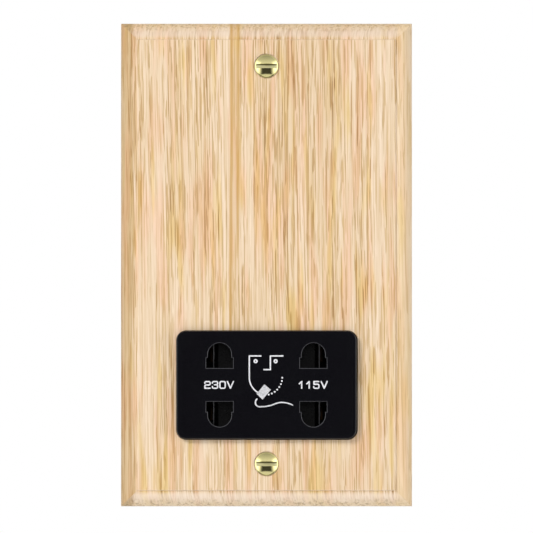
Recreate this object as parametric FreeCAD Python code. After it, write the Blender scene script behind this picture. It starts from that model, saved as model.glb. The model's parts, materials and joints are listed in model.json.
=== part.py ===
# Dual-voltage shaver socket on a solid oak plate with an ovolo edge.
# Millimetres. X is to the right, Z is up and Y runs into the wall. The wall is the plane Y = 0,
# and the origin is the centre of the plate's back face, midway between the two fixing screws.

import FreeCAD
import Part
import math
import os

V = FreeCAD.Vector
X_AXIS = V(1, 0, 0)
Y_AXIS = V(0, 1, 0)
Z_AXIS = V(0, 0, 1)

# Front plate
plate_width = 88.5
plate_thickness = 10.0
moulding_width = 5.0
quirk_depth = 0.7
pocket_depth = 4.2
fit_clearance = 0.2
thread_clearance = 0.05

# Fixing screws. Their centres come to the standard 120.6 mm of a two-gang wall box.
lug_room = 6.8
fixing_margin = 13.1
fixing_head_radius = 3.6
fixing_head_cone = 2.05
fixing_dome_rise = 1.3
fixing_slot_width = 1.0
fixing_slot_depth = 1.2
fixing_shank_radius = 1.5
fixing_shank_hole = 2.1
fixing_thread_radius = 1.75
fixing_thread_start = 0.5
fixing_length = 40.0
fixing_point = 1.0

# Pin apertures: a flat base towards the middle and an arched outer end
pin_spread = 14.2
aperture_inner = 5.08
aperture_outer = 12.7
aperture_base_width = 8.15
aperture_arch_radius = 3.55
aperture_base_height = 3.1
collar_wall = 1.3

# Socket insert
insert_side_margin = 13.1
insert_end_margin = 3.65
insert_corner = 2.85
insert_edge = 0.6
insert_proud = 1.8
insert_wall = 2.2
insert_side_wall = 1.8
insert_flange = 2.0
insert_flange_thickness = 1.2

# Interlock shutter and its springs
shutter_overlap = 2.05
shutter_thickness = 2.0
shutter_ramp = 1.6
shutter_travel = 5.0
shutter_rib = 1.7
slide_gap = 0.3
peg_width = 3.0
peg_height = 3.4
peg_length = 7.2
spring_radius = 1.35
spring_wire = 0.4
spring_turns = 7
spring_end_gap = 0.05
spigot_radius = 0.8
spigot_length = 1.5

# Mounting base and the rails that clamp it in the plate's pocket
base_side_lip = 3.2
base_end_lip = 1.5
base_thickness = 2.0
rail_thickness = 1.2
rail_seat = 6.8
rail_end_gap = 0.4
wood_screw_inset = 9.0
wood_screw_radius = 1.25
wood_screw_head = 2.4
wood_screw_length = 6.0
wood_screw_point = 1.5
wood_screw_tip = 0.2
wood_slot_width = 0.6

# Contact carrier and contacts
carrier_end_inset = 0.75
carrier_side_inset = 4.5
carrier_depth = 13.2
carrier_web = 1.2
carrier_flange = 4.4
carrier_flange_thickness = 1.5
carrier_screw_height = 9.0
small_screw_radius = 1.0
small_head_radius = 1.8
small_head_height = 0.9
small_slot_width = 0.5
cell_side_room = 0.22
cell_inner_room = 0.48
cell_outer_room = 0.2
bay_wall = 1.0
switch_bay_height = 8.8
contact_sheet = 0.6
contact_leaf = 0.5
contact_leaf_height = 4.0
contact_strip_height = 4.8
contact_root = 3.6
contact_grip = 1.7
contact_flare = 2.3
switch_sheet = 0.4
switch_strip_inset = 1.4
switch_dead_half = 2.5
tail_width = 2.5
tail_length = 3.9
tail_clearance = 0.15
cover_thickness = 1.4
cover_screw_shift = 0.8
cover_screw_length = 7.0

# Transformer: E and I laminations of the usual proportions, on a bobbin with two sections
core_tongue = 16.0
core_stack = 18.0
core_front = 8.0
core_side_room = 2.0
core_top_room = 1.2
core_screw_inset = 4.0
core_screw_radius = 1.5
core_screw_head = 2.75
core_screw_head_height = 2.0
core_hole_radius = 1.75
core_boss_radius = 3.2
screw_slot_width = 0.8
bobbin_wall = 1.0
bobbin_gap = 0.3
bobbin_overhang = 7.0
winding_inset = 0.8
winding_corner = 4.0
tape_thickness = 0.3

# Thermal cut-out, in a cradle on the mounting base
cutout_length = 14.0
cutout_width = 7.0
cutout_height = 4.5
cutout_centre_x = -5.0
cradle_wall = 1.2

# Rear housing: a deep part round the transformer and a shallow step under the terminals
carrier_end_room = 1.6
middle_room = 15.5
step_height = 17.5
housing_wall = 1.8
housing_back_room = 1.2
housing_corner = 3.0
step_depth = 16.0
vent_width = 1.6
vent_pitch = 3.8
vent_count = 7
vent_length = 20.0
pillar_radius = 2.6
pillar_wall_gap = 0.2
pillar_drop = 8.5
housing_screw_radius = 1.25
housing_screw_head = 2.2
housing_screw_head_height = 1.6

# Terminal block and terminals
block_width = 38.0
block_height = 15.5
block_depth = 13.0
block_side_room = 7.0
block_gap = 1.0
terminal_pitch = 12.5
terminal_width = 8.0
terminal_height = 10.0
terminal_depth = 10.8
terminal_wire_radius = 1.9
terminal_wire_depth = 4.6
terminal_screw_radius = 1.75
terminal_head_radius = 2.3
terminal_head_height = 1.8
terminal_tail_radius = 1.0
terminal_tail_length = 5.0
wire_entry_radius = 2.2

# Earth strap
strap_width = 4.0
strap_thickness = 0.6
strap_rise = 4.2
strap_foot = 9.0

# Leads and printing
lead_radius = 0.75
lead_bend = 2.0
lead_loop = 4.5
print_thickness = 0.05
print_stroke = 0.4
digit_width = 1.6
digit_height = 2.02
digit_round = 0.42
digit_pitch = 2.28
legend_offset = -0.25
symbol_size = 1.0
shaver_path_dots = 8

# Sizes that follow from the pins, the insert, the carrier and the core
insert_width = 2 * (pin_spread + insert_side_margin)
insert_height = 2 * (aperture_outer + insert_end_margin)
insert_inside_half = insert_width / 2 - insert_side_wall
insert_inside_height = insert_height - 2 * insert_side_wall
shutter_length = 2 * (pin_spread + shutter_overlap)
rib_half = aperture_inner - collar_wall - slide_gap
carrier_width = 2 * (insert_inside_half - carrier_side_inset)
carrier_height = insert_inside_height - 2 * carrier_end_inset
carrier_screw_spread = (carrier_width + carrier_flange) / 2
cell_width = aperture_base_width + 2 * cell_side_room
cell_inner = aperture_inner - cell_inner_room
cell_outer = aperture_outer + cell_outer_room
switch_bay_width = 2 * (pin_spread - cell_width / 2 - bay_wall)
switch_strip_half = switch_bay_width / 2 - switch_strip_inset
switch_strip_z = switch_bay_height / 2 - switch_sheet
cover_screw_spread = pin_spread + cover_screw_shift
core_width = 3 * core_tongue
core_height = 2.5 * core_tongue
window_width = core_tongue / 2
window_height = core_height - core_tongue

# The housing is as wide as its widest content asks, and as high as what stands in it
housing_inside_half = max(core_width / 2 + core_side_room,
                          carrier_width / 2 + carrier_flange + fit_clearance,
                          block_width / 2 + block_side_room)
housing_half = housing_inside_half + housing_wall
housing_height = (2 * housing_wall + carrier_end_room + carrier_height + middle_room + core_height
                  + core_top_room + step_height)
housing_depth = core_front + core_stack + bobbin_overhang + housing_back_room + housing_wall
base_width = 2 * (housing_half + base_side_lip)
base_height = housing_height + 2 * base_end_lip
rail_inner = housing_half + fit_clearance
rail_outer = base_width / 2 + fit_clearance + rail_seat
wood_screw_x = rail_outer - rail_seat / 2
wood_screw_spacing = base_height / 2 - wood_screw_inset
fixing_centres = housing_height + 2 * lug_room
plate_height = fixing_centres + 2 * fixing_margin

# Levels through the depth of the part
y_plate = -plate_thickness
y_insert = y_plate - insert_proud
y_pocket = -pocket_depth
y_base = y_pocket + base_thickness
y_rail = y_base + rail_thickness
y_insert_inside = y_insert + insert_wall
y_shutter_back = y_pocket - slide_gap
y_shutter_front = y_shutter_back - shutter_thickness
y_collar = y_shutter_front - slide_gap
y_rib = y_shutter_front - shutter_rib
y_spring = (y_rib + y_shutter_back) / 2
y_cell = y_pocket + carrier_web
y_carrier = y_pocket + carrier_depth
y_strip = y_carrier + contact_sheet
y_cover = y_strip + cover_thickness
y_core_back = core_front + core_stack
y_core_mid = core_front + core_stack / 2
y_lead = (y_base + core_front) / 2

# Heights of the pieces
fixing_z = fixing_centres / 2
housing_top = housing_height / 2
step_z = housing_top - step_height
insert_z = housing_wall + carrier_end_room + carrier_height / 2 - housing_top
carrier_top = insert_z + carrier_height / 2
core_top = step_z - housing_wall - core_top_room
core_bottom = core_top - core_height
core_centre_z = (core_top + core_bottom) / 2
middle_z = (carrier_top + core_bottom) / 2
pillar_high_z = housing_top - pillar_drop
block_bottom = step_z + block_gap
block_z = block_bottom + block_height / 2
strap_centre_z = step_z + strap_rise
pillar_spread = housing_inside_half - pillar_radius - pillar_wall_gap


def box(x0, x1, y0, y1, z0, z1):
    return Part.makeBox(x1 - x0, y1 - y0, z1 - z0, V(x0, y0, z0))


def cylinder_y(x, z, y0, y1, radius):
    return Part.makeCylinder(radius, y1 - y0, V(x, y0, z), Y_AXIS)


def cylinder_x(y, z, x0, x1, radius):
    return Part.makeCylinder(radius, x1 - x0, V(x0, y, z), X_AXIS)


def cone_y(x, z, y0, y1, radius_0, radius_1):
    return Part.makeCone(radius_0, radius_1, y1 - y0, V(x, y0, z), Y_AXIS)


def mirrored_x(shape):
    return shape.mirror(V(0, 0, 0), X_AXIS)


def mirrored_in_z(shape, z):
    return shape.mirror(V(0, 0, z), Z_AXIS)


def rounded_block(width, height, corner, y0, y1, z):
    block = box(-width / 2, width / 2, y0, y1, z - height / 2, z + height / 2)
    upright = [e for e in block.Edges if abs(e.Vertexes[0].Y - e.Vertexes[-1].Y) > (y1 - y0) / 2]
    return block.makeFillet(corner, upright)


def extruded(points, direction):
    wire = Part.makePolygon(points + [points[0]])
    return Part.Face(wire).extrude(direction)


def fused(shapes):
    return shapes[0].multiFuse(shapes[1:]).removeSplitter()


# Front plate

def moulding_cutter(half_span, run):
    # What the ovolo cutter takes off the +X edge: a square quirk and then a quarter round.
    inner = half_span - moulding_width
    level = y_plate + quirk_depth
    side = level + moulding_width
    turn = math.sqrt(0.5) * moulding_width
    middle = V(inner + turn, side - turn, 0)
    arc = Part.Arc(V(inner, level, 0), middle, V(half_span, side, 0)).toShape()
    outline = [V(half_span, side, 0), V(half_span + 1, side, 0), V(half_span + 1, y_plate - 1, 0),
               V(inner, y_plate - 1, 0), V(inner, level, 0)]
    profile = Part.Face(Part.Wire([arc] + Part.makePolygon(outline).Edges))
    profile.translate(V(0, 0, -run / 2))
    return profile.extrude(V(0, 0, run))


def front_plate():
    plate = box(-plate_width / 2, plate_width / 2, y_plate, 0, -plate_height / 2, plate_height / 2)
    side = moulding_cutter(plate_width / 2, plate_height + 4)
    end = moulding_cutter(plate_height / 2, plate_width + 4)
    end.rotate(V(0, 0, 0), Y_AXIS, 90)
    plate = plate.cut(side).cut(mirrored_x(side)).cut(end).cut(mirrored_in_z(end, 0))
    window = rounded_block(insert_width + 2 * fit_clearance, insert_height + 2 * fit_clearance,
                           insert_corner + fit_clearance, y_plate - 1, 0, insert_z)
    flange_room = 2 * (insert_flange + fit_clearance)
    rebate = rounded_block(insert_width + flange_room, insert_height + flange_room,
                           insert_corner + flange_room / 2, y_pocket - insert_flange_thickness, 0,
                           insert_z)
    base_half = base_width / 2 + fit_clearance
    pocket_top = base_height / 2 + fit_clearance
    rail_half = rail_outer + fit_clearance
    pocket = box(-base_half, base_half, y_pocket, 1, -pocket_top, pocket_top)
    ledge = box(-rail_half, rail_half, y_base, 1, -pocket_top, pocket_top)
    plate = plate.cut(fused([window, rebate])).cut(pocket).cut(ledge)
    for z in (-fixing_z, fixing_z):
        plate = plate.cut(cylinder_y(0, z, y_plate - 1, 1, fixing_shank_hole))
        plate = plate.cut(countersink(z, fixing_head_radius + thread_clearance))
    for x, z in wood_screw_places():
        plate = plate.cut(wood_screw(x, z, y_rail, thread_clearance))
    x, z = earth_screw_place()
    return plate.cut(wood_screw(x, z, y_rail + strap_thickness, thread_clearance))


def countersink(z, radius):
    # The widening is carried a little past the face, so that the hole has a clean rim.
    slope = (fixing_head_radius - fixing_shank_radius) / fixing_head_cone
    past = 0.5
    depth = (radius - fixing_shank_radius) / slope
    return cone_y(0, z, y_plate - past, y_plate + depth, radius + past * slope, fixing_shank_radius)


# Fixing screws

def fixing_screw(z):
    dome_radius = (fixing_head_radius ** 2 + fixing_dome_rise ** 2) / (2 * fixing_dome_rise)
    ball = Part.makeSphere(dome_radius, V(0, y_plate - fixing_dome_rise + dome_radius, z))
    dome = ball.common(cylinder_y(0, z, y_plate - fixing_dome_rise - 1, y_plate, fixing_head_radius + 1))
    head_end = y_plate + fixing_head_cone
    tip = y_plate + fixing_length
    head = cone_y(0, z, y_plate, head_end, fixing_head_radius, fixing_shank_radius)
    shank = cylinder_y(0, z, head_end, fixing_thread_start, fixing_shank_radius)
    thread = cylinder_y(0, z, fixing_thread_start, tip - fixing_point, fixing_thread_radius)
    point_radius = fixing_thread_radius - fixing_point / 2
    point = cone_y(0, z, tip - fixing_point, tip, fixing_thread_radius, point_radius)
    slot_top = y_plate - fixing_dome_rise
    slot = box(-fixing_head_radius - 1, fixing_head_radius + 1, slot_top - 1, slot_top + fixing_slot_depth,
               z - fixing_slot_width / 2, z + fixing_slot_width / 2)
    return fused([dome, head, shank, thread, point]).cut(slot)


def fixing_screws():
    return Part.makeCompound([fixing_screw(-fixing_z), fixing_screw(fixing_z)])


# Socket insert

def aperture_outline(x, sign, grow):
    # The D-shaped outline of one aperture, in the plane Y = 0.
    half = aperture_base_width / 2 + grow
    arch = aperture_arch_radius + grow
    low = aperture_inner - grow
    shoulder = aperture_inner + aperture_base_height
    centre = aperture_outer - aperture_arch_radius
    z = [insert_z + sign * level for level in (low, shoulder, centre, centre + arch)]
    points = [V(x - arch, 0, z[2]), V(x - arch, 0, z[1]), V(x - half, 0, z[1]), V(x - half, 0, z[0]),
              V(x + half, 0, z[0]), V(x + half, 0, z[1]), V(x + arch, 0, z[1]), V(x + arch, 0, z[2])]
    crown = Part.Arc(V(x + arch, 0, z[2]), V(x, 0, z[3]), V(x - arch, 0, z[2])).toShape()
    return Part.Face(Part.Wire(Part.makePolygon(points).Edges + [crown]))


def aperture_prism(x, sign, grow, y0, y1):
    face = aperture_outline(x, sign, grow)
    face.translate(V(0, y0, 0))
    return face.extrude(V(0, y1 - y0, 0))


def aperture_places():
    return [(side * pin_spread, sign) for side in (-1, 1) for sign in (1, -1)]


def socket_insert():
    shell = rounded_block(insert_width, insert_height, insert_corner, y_insert, y_pocket, insert_z)
    front = [e for e in shell.Edges if abs(e.BoundBox.YMax - y_insert) < 0.01]
    shell = shell.makeFillet(insert_edge, front)
    flange = rounded_block(insert_width + 2 * insert_flange, insert_height + 2 * insert_flange,
                           insert_corner + insert_flange, y_pocket - insert_flange_thickness, y_pocket,
                           insert_z)
    hollow = rounded_block(2 * insert_inside_half, insert_inside_height, insert_corner - insert_side_wall,
                           y_insert_inside, 0, insert_z)
    shell = shell.fuse(flange).cut(hollow)
    collars = []
    for x, sign in aperture_places():
        collars.append(aperture_prism(x, sign, collar_wall, y_insert_inside, y_collar))
    spigot_end = spigot_length - insert_inside_half
    spigot = cylinder_x(y_spring, insert_z, -insert_inside_half, spigot_end, spigot_radius)
    shell = fused([shell] + collars + [spigot, mirrored_x(spigot)])
    for x, sign in aperture_places():
        shell = shell.cut(aperture_prism(x, sign, 0, y_insert - 1, y_collar + 1))
    return shell


# Printing on the insert

def on_face(path):
    return [V(x, y_insert, z) for x, z in path]


def printed(face):
    return face.extrude(V(0, -print_thickness, 0))


def pen_path(edges):
    # A line with at least one bend, drawn with a round pen.
    outline = Part.Wire(edges).makeOffset2D(print_stroke / 2, 0, False, False, False)
    return printed(Part.Face(outline))


def pen_dot(x, z, radius):
    return cylinder_y(x, z, y_insert - print_thickness, y_insert, radius)


def run(*points):
    return Part.makePolygon(on_face(points)).Edges


def step_towards(start, end, distance):
    length = math.hypot(end[0] - start[0], end[1] - start[1])
    return tuple(a + (b - a) * distance / length for a, b in zip(start, end))


def soft_run(*points):
    # A run with square corners, each rounded by a quarter circle.
    edges = []
    start = points[0]
    for corner, after in zip(points[1:], points[2:]):
        before = step_towards(corner, start, digit_round)
        beyond = step_towards(corner, after, digit_round)
        centre = (before[0] + beyond[0] - corner[0], before[1] + beyond[1] - corner[1])
        crown = step_towards(centre, corner, digit_round)
        edges += run(start, before)
        edges.append(Part.Arc(*on_face([before, crown, beyond])).toShape())
        start = beyond
    return edges + run(start, points[-1])


def in_digit(x, z, *points):
    # Points given as shares of a digit's width and height.
    return [(x + across * digit_width, z + up * digit_height) for across, up in points]


def digit_0(x, z):
    ring = Part.Wire(soft_run(*in_digit(x, z, (0.5, 1), (1, 1), (1, 0), (0, 0), (0, 1), (0.5, 1))))
    outside = ring.makeOffset2D(print_stroke / 2)
    inside = ring.makeOffset2D(-print_stroke / 2)
    return printed(Part.Face(outside)).cut(printed(Part.Face(inside)))


def digit_1(x, z):
    return pen_path(run(*in_digit(x, z, (0.12, 0.66), (0.58, 1), (0.58, 0))))


def digit_2(x, z):
    curve = soft_run(*in_digit(x, z, (0, 0.72), (0, 1), (1, 1), (1, 0.49), (0, 0.49), (0, 0.1)))
    return pen_path(curve + run(*in_digit(x, z, (0, 0.1), (0, 0), (1, 0))))


def digit_3(x, z):
    upper = pen_path(soft_run(*in_digit(x, z, (0, 0.75), (0, 1), (1, 1), (1, 0.52), (0.42, 0.52))))
    lower = pen_path(soft_run(*in_digit(x, z, (0.42, 0.52), (1, 0.52), (1, 0), (0, 0), (0, 0.25))))
    return fused([upper, lower])


def digit_5(x, z):
    back = run(*in_digit(x, z, (0.95, 1), (0.05, 1), (0.05, 0.6), (0.3, 0.6)))
    front = soft_run(*in_digit(x, z, (0.3, 0.6), (1, 0.6), (1, 0), (0, 0), (0, 0.25)))
    return pen_path(back + front)


def letter_v(x, z):
    return pen_path(run(*in_digit(x, z, (0, 1), (0.56, 0), (1.12, 1))))


def rating(glyphs, centre_x):
    # A row of glyphs halfway up the insert, printed a little to the left of centre_x.
    start = centre_x + legend_offset - ((len(glyphs) - 1) * digit_pitch + digit_width) / 2
    low = insert_z - digit_height / 2
    return [glyph(start + i * digit_pitch, low) for i, glyph in enumerate(glyphs)]


def voltage_legend():
    left = rating([digit_2, digit_3, digit_0, letter_v], -pin_spread)
    right = rating([digit_1, digit_1, digit_5, letter_v], pin_spread)
    return Part.makeCompound(left + right)


def symbol_point(x, z):
    return (x * symbol_size, insert_z + z * symbol_size)


def symbol_line(*points):
    return run(*[symbol_point(x, z) for x, z in points])


def symbol_arc(*points):
    return Part.Arc(*on_face([symbol_point(x, z) for x, z in points])).toShape()


def on_circle(centre, radius, degrees):
    turn = math.radians(degrees)
    return (centre[0] + radius * math.cos(turn), centre[1] + radius * math.sin(turn))


def symbol_dot(centre, radius):
    return pen_dot(*symbol_point(*centre), radius * symbol_size)


def shaver_symbol():
    # The usual sign for a shaver outlet: a face, a shaver at its jaw, its path and its cord.
    brow = 8.76
    jaw = (0, 2.2)
    jaw_radius = 5.2
    jaw_arc = symbol_arc(*[on_circle(jaw, jaw_radius, degrees) for degrees in (180, 210, 239)])
    profile = pen_path(symbol_line((-1.73, brow), (-jaw_radius, brow), (-jaw_radius, jaw[1])) + [jaw_arc])
    front = pen_path(symbol_line((4.97, brow), (1.18, brow), (1.18, 4.64), (-0.79, 4.64)))
    eyes = [symbol_dot((x, 7.19), 0.64).cut(symbol_dot((x, 7.19), 0.2)) for x in (-3.3, 2.76)]
    shaver = symbol_line((-0.64, 0.15), (1.3, -1.46), (-1.18, -4.46), (-3.03, -2.7), (-0.64, 0.15))
    shaver = printed(Part.Face(Part.Wire(shaver)))
    path_step = 74 / (shaver_path_dots - 1)
    path = [on_circle((-0.67, 2.37), 5.46, -2 - i * path_step) for i in range(shaver_path_dots)]
    dots = [symbol_dot(place, 0.27) for place in path]
    curl = symbol_arc((-2.9, -4.3), (-3.3, -5.7), (-1.6, -6.6))
    hang = symbol_arc((-1.6, -6.6), (0.8, -6.35), (2.9, -5.6))
    trail = symbol_arc((2.9, -5.6), (5.4, -5.35), (7.88, -6.12))
    cord = fused([pen_path([piece]) for piece in (curl, hang, trail)])
    return Part.makeCompound([profile, front, shaver, cord] + eyes + dots)


# Interlock shutter, bridge contact and return springs

def interlock_shutter():
    half = shutter_length / 2
    height = insert_inside_height - 2 * slide_gap
    ramp_y = y_shutter_front + shutter_ramp
    outline = [V(-half, y_shutter_back, 0), V(half, y_shutter_back, 0), V(half, ramp_y, 0),
               V(half - shutter_ramp, y_shutter_front, 0), V(shutter_ramp - half, y_shutter_front, 0),
               V(-half, ramp_y, 0)]
    plate = extruded(outline, V(0, 0, height))
    plate.translate(V(0, 0, insert_z - height / 2))
    rib = box(-half, half, y_rib, y_shutter_back, insert_z - rib_half, insert_z + rib_half)
    peg = box(-peg_width / 2, peg_width / 2, y_shutter_back, y_shutter_back + peg_length,
              insert_z - peg_height / 2, insert_z + peg_height / 2)
    spigot = cylinder_x(y_spring, insert_z, half, half + spigot_length, spigot_radius)
    return fused([plate, rib, peg, spigot, mirrored_x(spigot)])


def bridge_contact():
    # A sheet clip on the end of the peg, with an arm above and an arm below.
    seat = y_shutter_back + peg_length
    reach = switch_strip_z - slide_gap
    half = peg_width / 2
    back = box(-half, half, seat, seat + switch_sheet, insert_z - reach, insert_z + reach)
    arm = box(-half, half, seat - contact_leaf_height, seat,
              insert_z + reach - switch_sheet, insert_z + reach)
    return fused([back, arm, mirrored_in_z(arm, insert_z)])


def return_spring_left():
    start = -insert_inside_half + spring_end_gap + spring_wire / 2
    end = -shutter_length / 2 - spring_end_gap - spring_wire / 2
    helix = Part.makeHelix((end - start) / spring_turns, end - start, spring_radius)
    section = Part.Wire(Part.makeCircle(spring_wire / 2, V(spring_radius, 0, 0), Y_AXIS))
    coil = Part.Wire(helix).makePipeShell([section], True, True)
    coil.rotate(V(0, 0, 0), Y_AXIS, 90)
    coil.translate(V(start, y_spring, insert_z))
    return coil


# Mounting base, rails and wood screws

def core_screw_places():
    x = core_width / 2 - core_screw_inset
    z = core_height / 2 - core_screw_inset
    return [(i * x, core_centre_z + j * z) for i in (-1, 1) for j in (-1, 1)]


def carrier_screw_places():
    x = carrier_screw_spread
    return [(i * x, insert_z + j * carrier_screw_height) for i in (-1, 1) for j in (-1, 1)]


def pillar_places():
    return [(i * pillar_spread, z) for i in (-1, 1) for z in (middle_z, pillar_high_z)]


def mounting_base():
    base = box(-base_width / 2, base_width / 2, y_pocket, y_base, -base_height / 2, base_height / 2)
    opening_half = carrier_width / 2 + fit_clearance
    opening_height = carrier_height / 2 + fit_clearance
    opening = box(-opening_half, opening_half, y_pocket - 1, y_base + 1,
                  insert_z - opening_height, insert_z + opening_height)
    bosses = [cylinder_y(x, z, y_base, core_front, core_boss_radius) for x, z in core_screw_places()]
    cradle_half = cutout_width / 2 + cradle_wall
    cradle = box(cutout_centre_x - cutout_length / 2, cutout_centre_x + cutout_length / 2,
                 y_base, y_base + cutout_height - 1, middle_z - cradle_half, middle_z + cradle_half)
    base = fused([base] + bosses + [cradle]).cut(opening).cut(cutout_block(fit_clearance / 2))
    for x, z in core_screw_places():
        base = base.cut(cylinder_y(x, z, y_base, core_front + 1, core_screw_radius + thread_clearance))
    for x, z in carrier_screw_places():
        base = base.cut(small_hole(x, z, y_pocket - 1, y_base + 1))
    for x, z in pillar_places():
        base = base.cut(cylinder_y(x, z, y_pocket - 1, y_base + 1, housing_screw_radius + thread_clearance))
    return base


def cutout_block(grow):
    return box(cutout_centre_x - cutout_length / 2 - grow, cutout_centre_x + cutout_length / 2 + grow,
               y_base, y_base + cutout_height,
               middle_z - cutout_width / 2 - grow, middle_z + cutout_width / 2 + grow)


def thermal_cutout():
    return cutout_block(0)


def wood_screw_places():
    return [(i * wood_screw_x, j * wood_screw_spacing) for i in (-1, 1) for j in (-1, 0, 1)]


def earth_screw_place():
    return (wood_screw_x, strap_centre_z)


def wood_screw(x, z, y_top, grow):
    # A countersunk screw that is driven towards the front; grow makes the hole that it cuts.
    cone_depth = wood_screw_head - wood_screw_radius
    neck = y_top - cone_depth
    point = y_top - wood_screw_length + wood_screw_point
    head = cone_y(x, z, neck, y_top, wood_screw_radius + grow, wood_screw_head + grow)
    shank = cylinder_y(x, z, point, neck, wood_screw_radius + grow)
    tip = cone_y(x, z, point - wood_screw_point, point, wood_screw_tip + grow, wood_screw_radius + grow)
    return fused([head, shank, tip])


def wood_screws():
    return Part.makeCompound([slotted(wood_screw(x, z, y_rail, 0), x, z, y_rail)
                              for x, z in wood_screw_places()])


def slotted(screw, x, z, y_top):
    half = wood_slot_width / 2
    slot = box(x - wood_screw_head, x + wood_screw_head, y_top - wood_slot_width, y_top + 1,
               z - half, z + half)
    return screw.cut(slot)


def plain_rail():
    half = base_height / 2 - rail_end_gap
    rail = box(rail_inner, rail_outer, y_base, y_rail, -half, half)
    for x, z in wood_screw_places():
        if x > 0:
            rail = rail.cut(wood_screw(x, z, y_rail, thread_clearance))
    return rail


def retaining_rail_right():
    x, z = earth_screw_place()
    return plain_rail().cut(wood_screw(x, z, y_rail + strap_thickness, thread_clearance))


# Contact carrier, contacts and cover

def small_hole(x, z, y0, y1):
    return cylinder_y(x, z, y0, y1, small_screw_radius + thread_clearance)


def contact_carrier():
    half = carrier_width / 2
    low = insert_z - carrier_height / 2
    high = insert_z + carrier_height / 2
    block = box(-half, half, y_pocket, y_carrier, low, high)
    flange_half = half + carrier_flange
    flange = box(-flange_half, flange_half, y_base, y_base + carrier_flange_thickness, low, high)
    bay_half = switch_bay_width / 2
    bay = box(-bay_half, bay_half, y_cell, y_carrier + 1,
              insert_z - switch_bay_height / 2, insert_z + switch_bay_height / 2)
    slot_half = peg_width / 2 + shutter_travel + slide_gap
    slot_height = peg_height / 2 + slide_gap
    slot = box(-slot_half, slot_half, y_pocket - 1, y_cell + 1,
               insert_z - slot_height, insert_z + slot_height)
    carrier = fused([block, flange]).cut(bay).cut(slot)
    for x, sign in aperture_places():
        low, high = sorted((insert_z + sign * cell_inner, insert_z + sign * cell_outer))
        cell = box(x - cell_width / 2, x + cell_width / 2, y_cell, y_carrier + 1, low, high)
        carrier = carrier.cut(cell).cut(aperture_prism(x, sign, 0, y_pocket - 1, y_cell + 1))
    for x, z in carrier_screw_places():
        carrier = carrier.cut(small_hole(x, z, y_base - 1, y_carrier))
    for x in (-cover_screw_spread, cover_screw_spread):
        carrier = carrier.cut(small_hole(x, insert_z, y_cover - cover_screw_length - 1, y_carrier + 1))
    return carrier


def jaw_leaf(x, side, z):
    # One sprung leaf of a pin jaw: straight root, grip and flared tip.
    line = [(contact_root, y_carrier), (contact_root, y_carrier - 3), (contact_grip, y_cell + 4),
            (contact_grip, y_cell + 3), (contact_flare, y_cell + 0.8)]
    outer = [V(x + side * (run + contact_leaf), y, 0) for run, y in line]
    inner = [V(x + side * run, y, 0) for run, y in line]
    leaf = extruded(outer + inner[::-1], V(0, 0, contact_leaf_height))
    leaf.translate(V(0, 0, z - contact_leaf_height / 2))
    return leaf


def contact_row_z(sign):
    return insert_z + sign * (aperture_inner + aperture_outer) / 2


def tail_places():
    # Where each contact's solder tail comes through the cover, and how thick its sheet is.
    outlet_x = pin_spread - contact_root - contact_leaf - tail_width / 2
    lift = switch_strip_z + switch_sheet / 2
    return {"common": (0, contact_row_z(1), contact_sheet),
            "230v": (-outlet_x, contact_row_z(-1), contact_sheet),
            "115v": (outlet_x, contact_row_z(-1), contact_sheet),
            "upper": (switch_strip_half / 2, insert_z + lift, switch_sheet),
            "lower": (-switch_strip_half / 2, insert_z - lift, switch_sheet)}


def solder_tail(name, grow):
    x, z, sheet = tail_places()[name]
    half = tail_width / 2 + grow
    height = sheet / 2 + grow
    return box(x - half, x + half, y_carrier, y_strip + tail_length, z - height, z + height)


def contact_strip(x_from, x_to, jaws, sign, tail):
    z = contact_row_z(sign)
    half = contact_strip_height / 2
    strip = box(x_from, x_to, y_carrier, y_strip, z - half, z + half)
    leaves = [jaw_leaf(x, side, z) for x in jaws for side in (-1, 1)]
    return fused([strip, solder_tail(tail, 0)] + leaves)


def common_contact():
    reach = pin_spread + contact_root + contact_leaf
    return contact_strip(-reach, reach, (-pin_spread, pin_spread), 1, "common")


def outlet_contact(side, tail):
    near = side * (pin_spread - contact_root - contact_leaf - tail_width)
    far = side * (pin_spread + contact_root + contact_leaf)
    return contact_strip(min(near, far), max(near, far), (side * pin_spread,), -1, tail)


def switch_contact_upper():
    top = insert_z + switch_bay_height / 2
    strip = box(-switch_strip_half, switch_strip_half, y_cell + 1, y_strip, top - switch_sheet, top)
    return fused([strip, solder_tail("upper", 0)])


def switch_contact_lower():
    bottom = insert_z - switch_bay_height / 2
    strip = box(-switch_strip_half, switch_strip_half, y_cell + 1, y_strip, bottom, bottom + switch_sheet)
    dead = box(-switch_dead_half, switch_dead_half, y_cell, y_carrier - 3, bottom - 1, bottom + 1)
    return fused([strip.cut(dead), solder_tail("lower", 0)])


def contact_cover():
    half = carrier_width / 2
    height = carrier_height / 2
    cover = box(-half, half, y_strip, y_cover, insert_z - height, insert_z + height)
    posts = []
    for x in (-cover_screw_spread, cover_screw_spread):
        posts.append(cylinder_y(x, insert_z, y_carrier, y_strip, 2 * small_screw_radius))
    cover = fused([cover] + posts)
    for name in tail_places():
        cover = cover.cut(solder_tail(name, tail_clearance))
    for x in (-cover_screw_spread, cover_screw_spread):
        cover = cover.cut(small_hole(x, insert_z, y_carrier - 1, y_cover + 1))
    return cover


def small_screw(x, z, y_seat, length):
    head = cylinder_y(x, z, y_seat, y_seat + small_head_height, small_head_radius)
    shank = cylinder_y(x, z, y_seat - length, y_seat, small_screw_radius)
    half = small_slot_width / 2
    slot = box(x - small_head_radius, x + small_head_radius, y_seat + small_head_height / 2,
               y_seat + small_head_height + 1, z - half, z + half)
    return fused([head, shank]).cut(slot)


def carrier_screws():
    seat = y_base + carrier_flange_thickness
    length = carrier_flange_thickness + base_thickness
    return Part.makeCompound([small_screw(x, z, seat, length) for x, z in carrier_screw_places()])


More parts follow.
